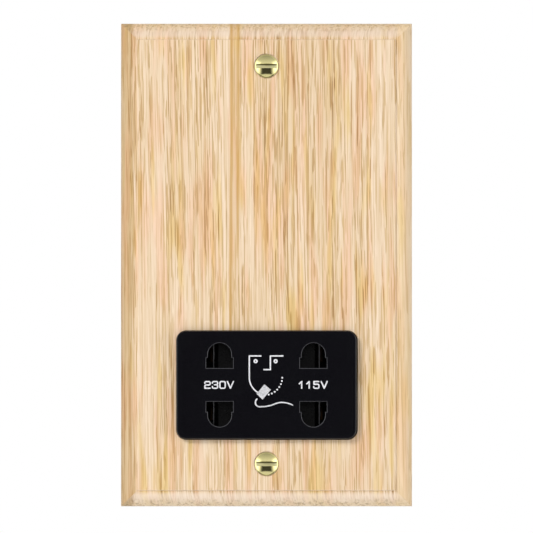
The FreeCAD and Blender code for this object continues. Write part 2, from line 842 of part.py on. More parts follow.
def cover_screws():
    places = (-cover_screw_spread, cover_screw_spread)
    return Part.makeCompound([small_screw(x, insert_z, y_cover, cover_screw_length) for x in places])


# Transformer

def core_laminations():
    half = core_width / 2
    height = core_height / 2
    core = box(-half, half, core_front, y_core_back, core_centre_z - height, core_centre_z + height)
    near = core_tongue / 2
    window = box(near, near + window_width, core_front - 1, y_core_back + 1,
                 core_centre_z - window_height / 2, core_centre_z + window_height / 2)
    core = core.cut(window).cut(mirrored_x(window))
    for x, z in core_screw_places():
        core = core.cut(cylinder_y(x, z, core_front - 1, y_core_back + 1, core_hole_radius))
    return core


def headed(shank, x, z, seat, radius, height):
    # Adds a cheese head with a slot half as deep as the head.
    head = cylinder_y(x, z, seat, seat + height, radius)
    half = screw_slot_width / 2
    slot = box(x - radius - 1, x + radius + 1, seat + height / 2, seat + height + 1, z - half, z + half)
    return fused([head, shank]).cut(slot)


def core_screws():
    screws = []
    for x, z in core_screw_places():
        shank = cylinder_y(x, z, y_base + base_thickness / 2, y_core_back, core_screw_radius)
        screws.append(headed(shank, x, z, y_core_back, core_screw_head, core_screw_head_height))
    return Part.makeCompound(screws)


def bobbin_tube(grow):
    # The tube round the core's tongue, grown outwards by grow from its inner faces.
    half = core_tongue / 2 + bobbin_gap + grow
    depth = core_stack / 2 + bobbin_gap + grow
    height = window_height / 2 - bobbin_gap
    return box(-half, half, y_core_mid - depth, y_core_mid + depth,
               core_centre_z - height, core_centre_z + height)


def bobbin():
    reach = core_tongue / 2 + window_width - bobbin_gap
    depth = core_stack / 2 + bobbin_overhang
    height = window_height / 2 - bobbin_gap
    levels = [core_centre_z - height, core_centre_z - bobbin_wall / 2, core_centre_z + height - bobbin_wall]
    cheeks = [box(-reach, reach, y_core_mid - depth, y_core_mid + depth, z, z + bobbin_wall) for z in levels]
    return fused([bobbin_tube(bobbin_wall)] + cheeks).cut(bobbin_tube(0))


def coil_ring(low, high, inset):
    # A solid of the winding's outer shape, set in from the bobbin's cheeks.
    reach = core_tongue / 2 + window_width - bobbin_gap - inset
    depth = core_stack / 2 + bobbin_overhang - inset
    ring = box(-reach, reach, y_core_mid - depth, y_core_mid + depth, low, high)
    upright = [e for e in ring.Edges if abs(e.Vertexes[0].Z - e.Vertexes[-1].Z) > (high - low) / 2]
    return ring.makeFillet(winding_corner, upright)


def winding_levels():
    height = window_height / 2 - bobbin_gap - bobbin_wall
    gap = bobbin_wall / 2
    return [(core_centre_z - height, core_centre_z - gap), (core_centre_z + gap, core_centre_z + height)]


def winding(section):
    low, high = winding_levels()[section]
    return coil_ring(low, high, winding_inset).cut(bobbin_tube(bobbin_wall))


def winding_tape():
    wraps = []
    for low, high in winding_levels():
        outside = coil_ring(low, high, winding_inset - tape_thickness)
        wraps.append(outside.cut(coil_ring(low - 1, high + 1, winding_inset)))
    return Part.makeCompound(wraps)


# Rear housing

def housing_shape(inset):
    # The outer form for no inset, and the hollow for an inset of one wall.
    half = housing_half - inset
    top = housing_top - inset
    start = y_base - inset
    deep = box(-half, half, start, housing_depth - inset, -top, step_z - inset)
    shallow = box(-half, half, start, step_depth - inset, -top, top)
    shape = fused([deep, shallow])
    corners = [e for e in shape.Edges if edge_runs_back(e, half) and e.Length > 1]
    return shape.makeFillet(housing_corner - inset, corners)


def edge_runs_back(edge, half):
    first = edge.Vertexes[0].Point
    last = edge.Vertexes[-1].Point
    along_y = abs(first.x - last.x) < 0.01 and abs(first.z - last.z) < 0.01
    return along_y and abs(abs(first.x) - half) < 0.01


def rear_housing():
    shell = housing_shape(0).cut(housing_shape(housing_wall))
    pillars = []
    for x, z in pillar_places():
        end = housing_depth if z < step_z else step_depth
        pillars.append(cylinder_y(x, z, y_base, end - housing_wall / 2, pillar_radius))
    shell = fused([shell] + pillars)
    for x, z in pillar_places():
        bore = housing_screw_radius + thread_clearance
        shell = shell.cut(cylinder_y(x, z, y_base - 1, housing_depth + 1, bore))
    for i in range(vent_count):
        middle = core_centre_z + (i - (vent_count - 1) / 2) * vent_pitch
        low = middle - vent_width / 2
        high = middle + vent_width / 2
        half = vent_length / 2
        back = box(-half, half, housing_depth - housing_wall - 1, housing_depth + 1, low, high)
        side = housing_half + 1
        sides = box(-side, side, y_core_mid - half, y_core_mid + half, low, high)
        shell = shell.cut(back).cut(sides)
    for x in terminal_places():
        shell = shell.cut(cylinder_y(x, block_z, 0, step_depth + 1, terminal_tail_radius + thread_clearance))
    for x in block_screw_places():
        shell = shell.cut(small_hole(x, block_z, 0, step_depth + 1))
    return shell


def housing_screws():
    screws = []
    for x, z in pillar_places():
        seat = housing_depth if z < step_z else step_depth
        shank = cylinder_y(x, z, y_pocket + base_thickness / 4, seat, housing_screw_radius)
        screws.append(headed(shank, x, z, seat, housing_screw_head, housing_screw_head_height))
    return Part.makeCompound(screws)


# Terminal block, terminals and earth strap

def terminal_places():
    return [-terminal_pitch, 0, terminal_pitch]


def block_screw_places():
    return [-terminal_pitch / 2, terminal_pitch / 2]


def terminal_top():
    return step_depth + terminal_depth


def terminal_solid(x, grow):
    half = terminal_width / 2 + grow
    height = terminal_height / 2 + grow
    return box(x - half, x + half, step_depth, terminal_top(), block_z - height, block_z + height)


def terminal_block():
    half = block_width / 2
    block = box(-half, half, step_depth, step_depth + block_depth, block_bottom, block_bottom + block_height)
    rim = [e for e in block.Edges if e.BoundBox.YMin > step_depth + block_depth - 0.01]
    block = block.makeFillet(0.8, rim)
    wire_y = step_depth + terminal_wire_depth
    for x in terminal_places():
        entry = Part.makeCylinder(wire_entry_radius, block_height, V(x, wire_y, block_z), Z_AXIS)
        block = block.cut(terminal_solid(x, thread_clearance)).cut(entry)
        block = block.cut(cylinder_y(x, block_z, step_depth, step_depth + block_depth + 1,
                                     terminal_head_radius + fit_clearance))
    for x in block_screw_places():
        block = block.cut(small_hole(x, block_z, step_depth - 1, step_depth + block_depth + 1))
    return block.cut(strap_room())


def terminal(x):
    wire_y = step_depth + terminal_wire_depth
    body = terminal_solid(x, 0)
    tail = cylinder_y(x, block_z, step_depth - terminal_tail_length, step_depth, terminal_tail_radius)
    body = fused([body, tail])
    low = block_z - terminal_height
    wire_hole = Part.makeCylinder(terminal_wire_radius, 2 * terminal_height, V(x, wire_y, low), Z_AXIS)
    screw_hole = cylinder_y(x, block_z, wire_y, terminal_top() + 1, terminal_screw_radius + thread_clearance)
    return body.cut(wire_hole).cut(screw_hole)


def terminal_screws():
    screws = []
    top = terminal_top()
    for x in terminal_places():
        shank = cylinder_y(x, block_z, step_depth + terminal_wire_depth, top, terminal_screw_radius)
        screws.append(headed(shank, x, block_z, top, terminal_head_radius, terminal_head_height))
    return Part.makeCompound(screws)


def block_screws():
    seat = step_depth + block_depth
    length = block_depth + housing_wall + 1
    return Part.makeCompound([small_screw(x, block_z, seat, length) for x in block_screw_places()])


def strap_outline():
    # From the earth terminal's side, over the step, down the housing's side and out on to the rail.
    start = terminal_pitch + terminal_width / 2
    inside = housing_half + thread_clearance
    outside = inside + strap_thickness
    foot = rail_inner + strap_foot
    return [(start, step_depth), (inside, step_depth), (inside, y_rail), (foot, y_rail),
            (foot, y_rail + strap_thickness), (outside, y_rail + strap_thickness),
            (outside, step_depth + strap_thickness), (start, step_depth + strap_thickness)]


def earth_strap():
    strap = extruded([V(x, y, 0) for x, y in strap_outline()], V(0, 0, strap_width))
    strap.translate(V(0, 0, strap_centre_z - strap_width / 2))
    x, z = earth_screw_place()
    return strap.cut(wood_screw(x, z, y_rail + strap_thickness, thread_clearance))


def strap_room():
    start = terminal_pitch + terminal_width / 2
    half = strap_width / 2 + fit_clearance
    return box(start, block_width / 2 + 1, step_depth - 1, step_depth + strap_thickness + fit_clearance,
               strap_centre_z - half, strap_centre_z + half)


def earth_screw():
    x, z = earth_screw_place()
    top = y_rail + strap_thickness
    return slotted(wood_screw(x, z, top, 0), x, z, top)


# Leads inside the housing

def bent_path(points, bend):
    # Straight runs joined by tangent arcs.
    edges = []
    start = points[0]
    for before, corner, after in zip(points, points[1:], points[2:]):
        back = (before - corner).normalize()
        ahead = (after - corner).normalize()
        half_turn = (math.pi - back.getAngle(ahead)) / 2
        reach = bend * math.tan(half_turn)
        entry = corner + back * reach
        leave = corner + ahead * reach
        middle_way = (back + ahead).normalize()
        middle = corner + middle_way * (bend / math.cos(half_turn) - bend)
        edges.append(Part.makeLine(start, entry))
        edges.append(Part.Arc(entry, middle, leave).toShape())
        start = leave
    edges.append(Part.makeLine(start, points[-1]))
    return Part.Wire(edges)


def lead(points):
    route = [V(*point) for point in points]
    path = bent_path(route, lead_bend)
    section = Part.Wire(Part.makeCircle(lead_radius, route[0], route[1] - route[0]))
    return path.makePipeShell([section], True, True)


def tail_end(name, lift):
    x, z, sheet = tail_places()[name]
    return (x, y_strip + tail_length + lift, z)


def side_way():
    # Leads run down the housing's side, halfway between the core's bosses and the wall.
    boss_edge = core_width / 2 - core_screw_inset + core_boss_radius
    return (boss_edge + housing_inside_half) / 2


def shoulder_z():
    # Where the mains leads turn down beside the core, above its top.
    return core_top + 2 * lead_bend


def live_lead():
    x = -terminal_pitch
    tail = step_depth - terminal_tail_length
    end = cutout_centre_x - cutout_length / 2
    side = -side_way()
    low = core_bottom - lead_bend
    near = end - lead_loop
    seat = y_base + cutout_height / 2
    return lead([(x, tail, block_z), (x, y_lead, block_z), (side, y_lead, shoulder_z()), (side, y_lead, low),
                 (near, y_lead, low), (near, seat, middle_z), (end, seat, middle_z)])


def neutral_lead():
    tail = step_depth - terminal_tail_length
    side = side_way()
    low = core_bottom - 2 * lead_bend
    across = cutout_centre_x + cutout_length
    return lead([(0, tail, block_z), (0, y_lead, block_z), (across, y_lead, block_z - 3 * lead_bend),
                 (side, y_lead, shoulder_z()), (side, y_lead, low), (across, y_core_back, low),
                 (primary_pin_x(), cheek_lead_y(), core_bottom + lead_bend),
                 (primary_pin_x(), cheek_lead_y(), cheek_under())])


def primary_pin_x():
    return core_tongue * 3 / 8


def cheek_under():
    return core_centre_z - window_height / 2 + bobbin_gap


def cheek_lead_y():
    return y_core_back + bobbin_overhang / 2


def front_cheek_y():
    return core_front - bobbin_overhang / 2


def over_carrier():
    # The depth at which leads pass behind the contact cover.
    return y_strip + tail_length + lead_loop - lead_bend / 2


def switch_lead():
    start = cutout_centre_x + cutout_length / 2
    seat = y_base + cutout_height / 2
    turn = start + 2 * lead_bend - lead_radius
    return lead([(start, seat, middle_z), (turn, seat, middle_z),
                 (turn, over_carrier(), middle_z - lead_loop), tail_end("upper", lead_loop),
                 tail_end("upper", 0)])


def primary_lead():
    x = -primary_pin_x()
    return lead([tail_end("lower", 0), tail_end("lower", lead_loop),
                 (x, y_core_back - lead_loop, carrier_top), (x, cheek_lead_y(), core_bottom - lead_loop),
                 (x, cheek_lead_y(), cheek_under())])


def outlet_lead(name, x):
    # From the front of the bobbin's lower cheek, over the carrier and down to a solder tail.
    y = front_cheek_y()
    high = carrier_top + lead_loop + lead_radius
    return lead([(x, y, cheek_under()), (x, y, high), (x, over_carrier(), carrier_top + lead_bend),
                 tail_end(name, lead_loop), tail_end(name, 0)])


# Assembly

def all_pieces():
    live, neutral, earth = terminal_places()
    spring = return_spring_left()
    return {
        "front_plate": front_plate(),
        "fixing_screws": fixing_screws(),
        "socket_insert": socket_insert(),
        "voltage_legend": voltage_legend(),
        "shaver_symbol": shaver_symbol(),
        "interlock_shutter": interlock_shutter(),
        "bridge_contact": bridge_contact(),
        "return_spring_left": spring,
        "return_spring_right": mirrored_x(spring),
        "mounting_base": mounting_base(),
        "retaining_rail_left": mirrored_x(plain_rail()),
        "retaining_rail_right": retaining_rail_right(),
        "wood_screws": wood_screws(),
        "contact_carrier": contact_carrier(),
        "carrier_screws": carrier_screws(),
        "common_contact": common_contact(),
        "contact_230v": outlet_contact(-1, "230v"),
        "contact_115v": outlet_contact(1, "115v"),
        "switch_contact_upper": switch_contact_upper(),
        "switch_contact_lower": switch_contact_lower(),
        "contact_cover": contact_cover(),
        "cover_screws": cover_screws(),
        "core_laminations": core_laminations(),
        "core_screws": core_screws(),
        "bobbin": bobbin(),
        "primary_winding": winding(0),
        "secondary_winding": winding(1),
        "winding_tape": winding_tape(),
        "thermal_cutout": thermal_cutout(),
        "rear_housing": rear_housing(),
        "housing_screws": housing_screws(),
        "terminal_block": terminal_block(),
        "block_screws": block_screws(),
        "live_terminal": terminal(live),
        "neutral_terminal": terminal(neutral),
        "earth_terminal": terminal(earth),
        "terminal_screws": terminal_screws(),
        "earth_strap": earth_strap(),
        "earth_screw": earth_screw(),
        "live_lead": live_lead(),
        "neutral_lead": neutral_lead(),
        "switch_lead": switch_lead(),
        "primary_lead": primary_lead(),
        "common_lead": outlet_lead("common", 0),
        "lead_230v": outlet_lead("230v", -core_tongue * 5 / 8),
        "lead_115v": outlet_lead("115v", core_tongue * 5 / 8),
    }


def main():
    os.makedirs("parts", exist_ok=True)
    for name, shape in all_pieces().items():
        if not shape.isValid():
            print("not valid:", name)
        print(name, len(shape.Solids), round(shape.Volume, 1))
        shape.exportStep("parts/" + name + ".step")


main()
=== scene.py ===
# Dual-voltage shaver socket on a moulded oak plate, seen straight from the front.
import json
import math

import bmesh
import bpy
from mathutils import Matrix, Vector


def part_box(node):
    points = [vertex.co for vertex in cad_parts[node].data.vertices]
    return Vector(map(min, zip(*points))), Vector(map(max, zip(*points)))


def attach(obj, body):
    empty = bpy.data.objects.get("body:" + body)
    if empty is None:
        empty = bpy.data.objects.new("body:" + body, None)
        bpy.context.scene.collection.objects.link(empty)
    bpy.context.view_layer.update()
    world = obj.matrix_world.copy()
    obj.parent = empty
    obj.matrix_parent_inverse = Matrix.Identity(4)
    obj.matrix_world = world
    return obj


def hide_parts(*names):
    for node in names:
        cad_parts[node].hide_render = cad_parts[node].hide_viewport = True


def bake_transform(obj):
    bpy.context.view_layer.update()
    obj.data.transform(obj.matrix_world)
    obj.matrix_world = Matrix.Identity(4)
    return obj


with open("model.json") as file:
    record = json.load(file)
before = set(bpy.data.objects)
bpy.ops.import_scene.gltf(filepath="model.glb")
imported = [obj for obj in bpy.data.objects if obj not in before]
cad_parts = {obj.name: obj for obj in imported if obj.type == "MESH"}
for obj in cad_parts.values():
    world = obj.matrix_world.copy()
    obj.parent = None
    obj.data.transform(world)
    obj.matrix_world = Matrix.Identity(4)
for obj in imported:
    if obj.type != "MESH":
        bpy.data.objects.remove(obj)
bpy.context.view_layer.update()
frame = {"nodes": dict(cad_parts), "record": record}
MM = 0.001

# Sizes in millimetres. They are the part's own, except where a comment says how they differ.
# Front plate. Its quirk is 0.3 shallower, which gives the faint step of a sanded and lacquered edge.
plate_face = -10.0
moulding_radius = 5.0
quirk_depth = 0.4
edge_round = 0.25
pocket_depth = 4.2
pocket_half_width = 31.2
pocket_half_height = 55.2
ledge_depth = 2.2
ledge_half_width = 38.2

# Fixing screws. Their slots are 0.25 wider and 0.25 shallower, as polishing leaves them.
fixing_z = 60.3
head_radius = 3.6
head_rise = 1.3
head_seat = -7.95
rim_round = 0.26
slot_width = 1.25
slot_depth = 0.95
# Width of the painted shadow along the upper side of each screw slot
slot_painted_shadow_strip = 0.40
shank_radius = 1.5
shank_hole = 2.1
thread_radius = 1.75
thread_root = 1.4
thread_pitch = 0.6
thread_start = 0.5
screw_tip = 30.0

# Socket insert. Its rim is 0.2 sharper, and the opening round it shows as a narrow gap.
insert_z = -36.3
insert_front = -11.8
insert_half_width = 27.3
insert_half_height = 16.35
insert_corner = 2.85
insert_rim = 0.4
slab_thickness = 1.2
window_gap = 0.25
window_shift = 0.12
flange_margin = 2.2
flange_front = -5.4
lip_round = 0.28

# Pin apertures, each measured from the insert's middle outwards
pin_spread = 14.2
aperture_inner = 5.08
aperture_shoulder = 8.18
arch_centre = 9.15
arch_radius = 3.55
base_half_width = 4.075

# Shutter
spigot_length = 1.5
# How far in from the spigot the painted highlight on the shutter's ends begins
painted_highlight_inset = 0.35


# Shader helpers
def linear(hex_colour):
    channels = [int(hex_colour[i:i + 2], 16) / 255 for i in (0, 2, 4)]
    return [c / 12.92 if c <= 0.04045 else ((c + 0.055) / 1.055) ** 2.4 for c in channels] + [1.0]


def add(material, kind, inputs=(), **settings):
    # Adds one node. A value in inputs is a number, a colour or another node's output.
    node = material.node_tree.nodes.new("ShaderNode" + kind)
    for name, value in settings.items():
        setattr(node, name, value)
    for socket, value in dict(inputs).items():
        if isinstance(value, bpy.types.NodeSocket):
            material.node_tree.links.new(value, node.inputs[socket])
        else:
            node.inputs[socket].default_value = value
    return node


def finish_of(name, inputs):
    # An empty material with its surface shader and output.
    material = bpy.data.materials.new(name)
    material.use_nodes = True
    material.node_tree.nodes.clear()
    surface = add(material, "BsdfPrincipled", inputs)
    add(material, "OutputMaterial", {"Surface": surface.outputs[0]})
    return material, surface


def feed(material, surface, **sockets):
    for name, output in sockets.items():
        material.node_tree.links.new(output, surface.inputs[name.replace("_", " ")])


def pitch(*sizes_mm):
    # A pattern's scale for each axis, from the size of its figure in millimetres.
    return [1 / (size * MM) for size in sizes_mm]


def oak_lacquered():
    # European oak, straight-grained, planed and moulded under clear satin lacquer: pale honey wood with
    # many short brown pore streaks along the grain, long soft growth lines and a low broken gloss.
    material, surface = finish_of("oak_satin_lacquer", {"Roughness": 0.45, "IOR": 1.5})
    place = add(material, "TexCoord")
    split = add(material, "SeparateXYZ", {0: place.outputs["Object"]})
    slow = add(material, "Mapping", {"Vector": place.outputs["Object"], "Scale": pitch(22.2, 22.2, 62.5)})
    wander = add(material, "TexNoise", {"Vector": slow.outputs[0], "Scale": 1, "Detail": 2,
                                        "Roughness": 0.4})
    sway = add(material, "Math", {0: wander.outputs[0], 1: 1.4 * MM}, operation="MULTIPLY")
    layers = grain_layers(material, split, sway)
    dark, pore_depth = streaks(material, layers)
    wood = streak_colours(material, layers, dark)
    wood = end_grain_with_painted_light_and_shade(material, place, wood)
    wood = golden_band(material, split, sway, wood)
    wood = side_painted_light_and_shade(material, split, wood)
    dull = add(material, "MapRange", {0: pore_depth.outputs[0], 1: 0, 2: 1, 3: 0.42, 4: 0.65})
    pit = add(material, "Math", {0: pore_depth.outputs[0], 1: -1.0}, operation="MULTIPLY")
    bump = add(material, "Bump", {"Height": pit.outputs[0], "Strength": 0.4, "Distance": 0.12 * MM})
    feed(material, surface, Base_Color=wood, Roughness=dull.outputs[0], Normal=bump.outputs[0])
    return material


def grain_layers(material, split, sway):
    # The rings stand at a slant through the board's thickness, and wander a little along its length.
    tilt = add(material, "Math", {0: split.outputs["Y"], 1: -0.3, 2: sway.outputs[0]},
               operation="MULTIPLY_ADD")
    drift = add(material, "Math", {0: split.outputs["Z"], 1: 0.012, 2: tilt.outputs[0]},
                operation="MULTIPLY_ADD")
    across = add(material, "Math", {0: split.outputs["X"], 1: drift.outputs[0]}, operation="ADD")
    board = add(material, "CombineXYZ", {"X": across.outputs[0], "Y": split.outputs["Y"],
                                         "Z": split.outputs["Z"]})
    # The size of each layer's figure in millimetres: across the rings, through the board and along it.
    layers = {}
    for name, figure, detail in (("broad", (7.7, 16.7, 167), 2), ("growth", (2.63, 6.67, 83.3), 2),
                                 ("pore", (0.526, 2, 18.2), 1), ("vessel", (0.345, 1.33, 10.5), 1),
                                 ("fibre", (0.435, 1.11, 33.3), 0), ("line", (0.625, 2.38, 83.3), 0),
                                 ("cloud", (3.33, 9.1, 33.3), 1), ("cast", (2.63, 7.7, 27.8), 1)):
        stretch = add(material, "Mapping", {"Vector": board.outputs[0], "Scale": pitch(*figure)})
        noise = add(material, "TexNoise", {"Vector": stretch.outputs[0], "Scale": 1, "Detail": detail,
                                           "Roughness": 0.5})
        layers[name] = noise.outputs[0]
    return layers


def streaks(material, layers):
    # How dark the wood is: growth bands and fibre add up, and two sizes of pore cut deeper, mostly where
    # the early wood of a growth band lies open. Long lines run between them.
    dark = 0.0
    for name, weight in (("broad", 1.7), ("growth", 0.8), ("fibre", 2.4)):
        dark = add(material, "Math", {0: layers[name], 1: weight, 2: dark},
                   operation="MULTIPLY_ADD").outputs[0]
    large = add(material, "MapRange", {0: layers["pore"], 1: 0.57, 2: 0.63},
                interpolation_type="SMOOTHSTEP")
    small = add(material, "MapRange", {0: layers["vessel"], 1: 0.56, 2: 0.61},
                interpolation_type="SMOOTHSTEP")
    pores = add(material, "Math", {0: large.outputs[0], 1: small.outputs[0]}, operation="MAXIMUM")
    open_band = add(material, "MapRange", {0: layers["growth"], 1: 0.36, 2: 0.60, 3: 0.45, 4: 1.0},
                    interpolation_type="SMOOTHSTEP")
    pore_depth = add(material, "Math", {0: pores.outputs[0], 1: open_band.outputs[0]},
                     operation="MULTIPLY")
    dark = add(material, "Math", {0: pore_depth.outputs[0], 1: 1.5, 2: dark},
               operation="MULTIPLY_ADD").outputs[0]
    long_line = add(material, "MapRange", {0: layers["line"], 1: 0.56, 2: 0.68, 4: 0.75},
                    interpolation_type="SMOOTHSTEP")
    dark = add(material, "Math", {0: long_line.outputs[0], 1: dark}, operation="ADD").outputs[0]
    return dark, pore_depth


def streak_colours(material, layers, dark):
    # From pale honey to brown, with rosy and golden casts that drift between the streaks.
    level = add(material, "MapRange", {0: dark, 1: 1.05, 2: 5.65})
    ramp = add(material, "ValToRGB", {0: level.outputs[0]})
    stops = ramp.color_ramp.elements
    stops[0].color = linear("f1ddc6")
    stops[1].color = linear("a07849")
    for position, colour in ((0.2, "ecd6bc"), (0.38, "e3caa9"), (0.55, "d6b88e"), (0.75, "be9a69")):
        stops.new(position).color = linear(colour)
    wood = ramp.outputs[0]
    for name, faint, full, amount, colour in (("cloud", 0.45, 0.66, 0.85, "fff0ea"),
                                              ("cast", 0.51, 0.74, 0.9, "faf2c8")):
        cast = add(material, "MapRange", {0: layers[name], 1: faint, 2: full, 4: amount},
                   interpolation_type="SMOOTHSTEP")
        wood = add(material, "Mix", {0: cast.outputs[0], 6: wood, 7: linear(colour)},
                   data_type="RGBA", blend_type="MULTIPLY").outputs[2]
    return wood


def end_grain_with_painted_light_and_shade(material, place, wood):
    # The moulding cuts across the grain at the top and bottom, where the wood is paler and pinker and the
    # streaks show less. On the outer edge, which is cut straight across, the pores are dots.
    shape = add(material, "NewGeometry")
    facing = add(material, "SeparateXYZ", {0: shape.outputs["Normal"]})
    upward = add(material, "Math", {0: facing.outputs["Z"]}, operation="ABSOLUTE")
    cut = add(material, "MapRange", {0: upward.outputs[0], 1: 0.03, 2: 0.3, 4: 0.5},
              interpolation_type="SMOOTHSTEP")
    outer = add(material, "MapRange", {0: upward.outputs[0], 1: 0.45, 2: 0.85})
    # Faces turned upward get darker colours and faces turned downward paler ones: painted shade on the top
    # moulding and painted light on the bottom one.
    upper = add(material, "MapRange", {0: facing.outputs["Z"], 1: -0.1, 2: 0.1})
    slope = add(material, "Mix", {0: upper.outputs[0], 6: linear("f8e6d6"), 7: linear("e0ccbb")},
                data_type="RGBA")
    edge = add(material, "Mix", {0: upper.outputs[0], 6: linear("f4dfbc"), 7: linear("e2c79c")},
               data_type="RGBA")
    cut_colour = add(material, "Mix", {0: outer.outputs[0], 6: slope.outputs[2], 7: edge.outputs[2]},
                     data_type="RGBA")
    wood = add(material, "Mix", {0: cut.outputs[0], 6: wood, 7: cut_colour.outputs[2]},
               data_type="RGBA").outputs[2]
    cells = add(material, "TexNoise", {"Vector": place.outputs["Object"], "Scale": 1 / (0.91 * MM),
                                       "Detail": 1})
    dots = add(material, "MapRange", {0: cells.outputs[0], 1: 0.54, 2: 0.64, 4: 0.6},
               interpolation_type="SMOOTHSTEP")
    shown = add(material, "Math", {0: dots.outputs[0], 1: outer.outputs[0]}, operation="MULTIPLY")
    return add(material, "Mix", {0: shown.outputs[0], 6: wood, 7: linear("a98a66")},
               data_type="RGBA").outputs[2]


def golden_band(material, split, sway, wood):
    # A golden band with two darker lines in it runs down from the top, a little left of the middle. Each
    # is given by where it lies, its width, the heights between which it fades in, and its strength.
    swayed = add(material, "Math", {0: split.outputs["X"], 1: sway.outputs[0]}, operation="ADD")
    for line_x, width, low, high, amount in ((-8.9, 2.4, -20, 10, 0.35), (-10.1, 0.7, -45, -20, 0.7),
                                             (-8.0, 0.6, 0, 14, 0.6)):
        offset = add(material, "Math", {0: swayed.outputs[0], 1: line_x * MM}, operation="SUBTRACT")
        away = add(material, "Math", {0: offset.outputs[0]}, operation="ABSOLUTE")
        near = add(material, "MapRange", {0: away.outputs[0], 1: width * MM, 2: width * MM / 6},
                   interpolation_type="SMOOTHSTEP")
        upper = add(material, "MapRange", {0: split.outputs["Z"], 1: low * MM, 2: high * MM, 4: amount},
                    interpolation_type="SMOOTHSTEP")
        shown = add(material, "Math", {0: near.outputs[0], 1: upper.outputs[0]}, operation="MULTIPLY")
        wood = add(material, "Mix", {0: shown.outputs[0], 6: wood, 7: linear("c39545")},
                   data_type="RGBA").outputs[2]
    return wood


def side_painted_light_and_shade(material, split, wood):
    # The left edge is painted browner and the right edge paler: painted shade on the left moulding and
    # painted light on the right one.
    left = add(material, "MapRange", {0: split.outputs["X"], 1: -39.8 * MM, 2: -41.2 * MM, 4: 0.9},
               interpolation_type="SMOOTHSTEP")
    wood = add(material, "Mix", {0: left.outputs[0], 6: wood, 7: linear("d6ccb4")},
               data_type="RGBA", blend_type="MULTIPLY").outputs[2]
    right = add(material, "MapRange", {0: split.outputs["X"], 1: 38.5 * MM, 2: 41 * MM, 4: 0.4},
                interpolation_type="SMOOTHSTEP")
    return add(material, "Mix", {0: right.outputs[0], 6: wood, 7: linear("f6d9ab")},
               data_type="RGBA").outputs[2]


def turned_brass(name, colour, smooth, rough, metallic=1.0):
    # Free-cutting brass, machined: a pale yellow metal, a mirror where it is polished and dull where a
    # cutter left its fine marks. They are drawn a few times coarser than they are, so that they show.
    material, surface = finish_of(name, {"Base Color": linear(colour), "Metallic": metallic})
    place = add(material, "TexCoord")
    fine = add(material, "Mapping", {"Vector": place.outputs["Object"], "Scale": pitch(1.1, 1.1, 0.38)})
    smears = add(material, "TexNoise", {"Vector": fine.outputs[0], "Scale": 1, "Detail": 2})
    worn = add(material, "MapRange", {0: smears.outputs[0], 1: 0.3, 2: 0.7, 3: smooth, 4: rough})
    bump = add(material, "Bump", {"Height": smears.outputs[0], "Strength": 0.06,
                                  "Distance": 0.02 * MM})
    feed(material, surface, Roughness=worn.outputs[0], Normal=bump.outputs[0])
    return material


def moulded_plastic(name, colour, roughness, grain_mm, depth_mm, tint):
    # A moulded plastic: even colour, faint flow tint, and the fine grain of a spark-eroded tool, which is
    # drawn coarser than it is where the piece is seen from the front.
    material, surface = finish_of(name, {"Base Color": linear(colour), "Roughness": roughness, "IOR": 1.5})
    place = add(material, "TexCoord")
    flow = add(material, "TexNoise", {"Vector": place.outputs["Object"], "Scale": 1 / (11 * MM),
                                      "Detail": 2})
    amount = add(material, "MapRange", {0: flow.outputs[0], 1: 0.3, 2: 0.7})
    tone = add(material, "Mix", {0: amount.outputs[0], 6: linear(colour), 7: linear(tint)},
               data_type="RGBA")
    grain = add(material, "TexNoise", {"Vector": place.outputs["Object"], "Scale": 1 / (grain_mm * MM),
                                       "Detail": 2})
    gloss = add(material, "MapRange", {0: grain.outputs[0], 1: 0.3, 2: 0.7, 3: roughness * 0.85,
                                       4: min(1.0, roughness * 1.15)})
    bump = add(material, "Bump", {"Height": grain.outputs[0], "Strength": 0.3, "Distance": depth_mm * MM})
    feed(material, surface, Base_Color=tone.outputs[2], Roughness=gloss.outputs[0], Normal=bump.outputs[0])
    return material


def printed_ink(name, thin, full):
    # Pad-printed ink: matt, and very slightly uneven in cover.
    material, surface = finish_of(name, {"Roughness": 0.6, "IOR": 1.5})
    place = add(material, "TexCoord")
    cover = add(material, "TexNoise", {"Vector": place.outputs["Object"], "Scale": 1 / (0.4 * MM),
                                       "Detail": 2})
    amount = add(material, "MapRange", {0: cover.outputs[0], 1: 0.25, 2: 0.6})
    ink = add(material, "Mix", {0: amount.outputs[0], 6: linear(thin), 7: linear(full)},
              data_type="RGBA")
    feed(material, surface, Base_Color=ink.outputs[2])
    return material


def sheet_metal(name, colour, tint, roughness, scratch_mm):
    # Rolled or plated sheet: metal with drawn lines along the strip and cloudy tarnish.
    material, surface = finish_of(name, {"Metallic": 1.0, "Roughness": roughness})
    place = add(material, "TexCoord")
    clouds = add(material, "TexNoise", {"Vector": place.outputs["Object"], "Scale": 1 / (3.85 * MM),
                                        "Detail": 4})
    patchy = add(material, "MapRange", {0: clouds.outputs[0], 1: 0.35, 2: 0.65})
    tone = add(material, "Mix", {0: patchy.outputs[0], 6: linear(colour), 7: linear(tint)},
               data_type="RGBA")
    stretch = add(material, "Mapping", {"Vector": place.outputs["Object"], "Scale": pitch(*scratch_mm)})
    lines = add(material, "TexNoise", {"Vector": stretch.outputs[0], "Scale": 1, "Detail": 2})
    worn = add(material, "MapRange", {0: lines.outputs[0], 1: 0.3, 2: 0.7, 3: roughness * 0.75,
                                      4: roughness * 1.3})
    bump = add(material, "Bump", {"Height": lines.outputs[0], "Strength": 0.1,
                                  "Distance": 0.02 * MM})
    feed(material, surface, Base_Color=tone.outputs[2], Roughness=worn.outputs[0], Normal=bump.outputs[0])
    return material


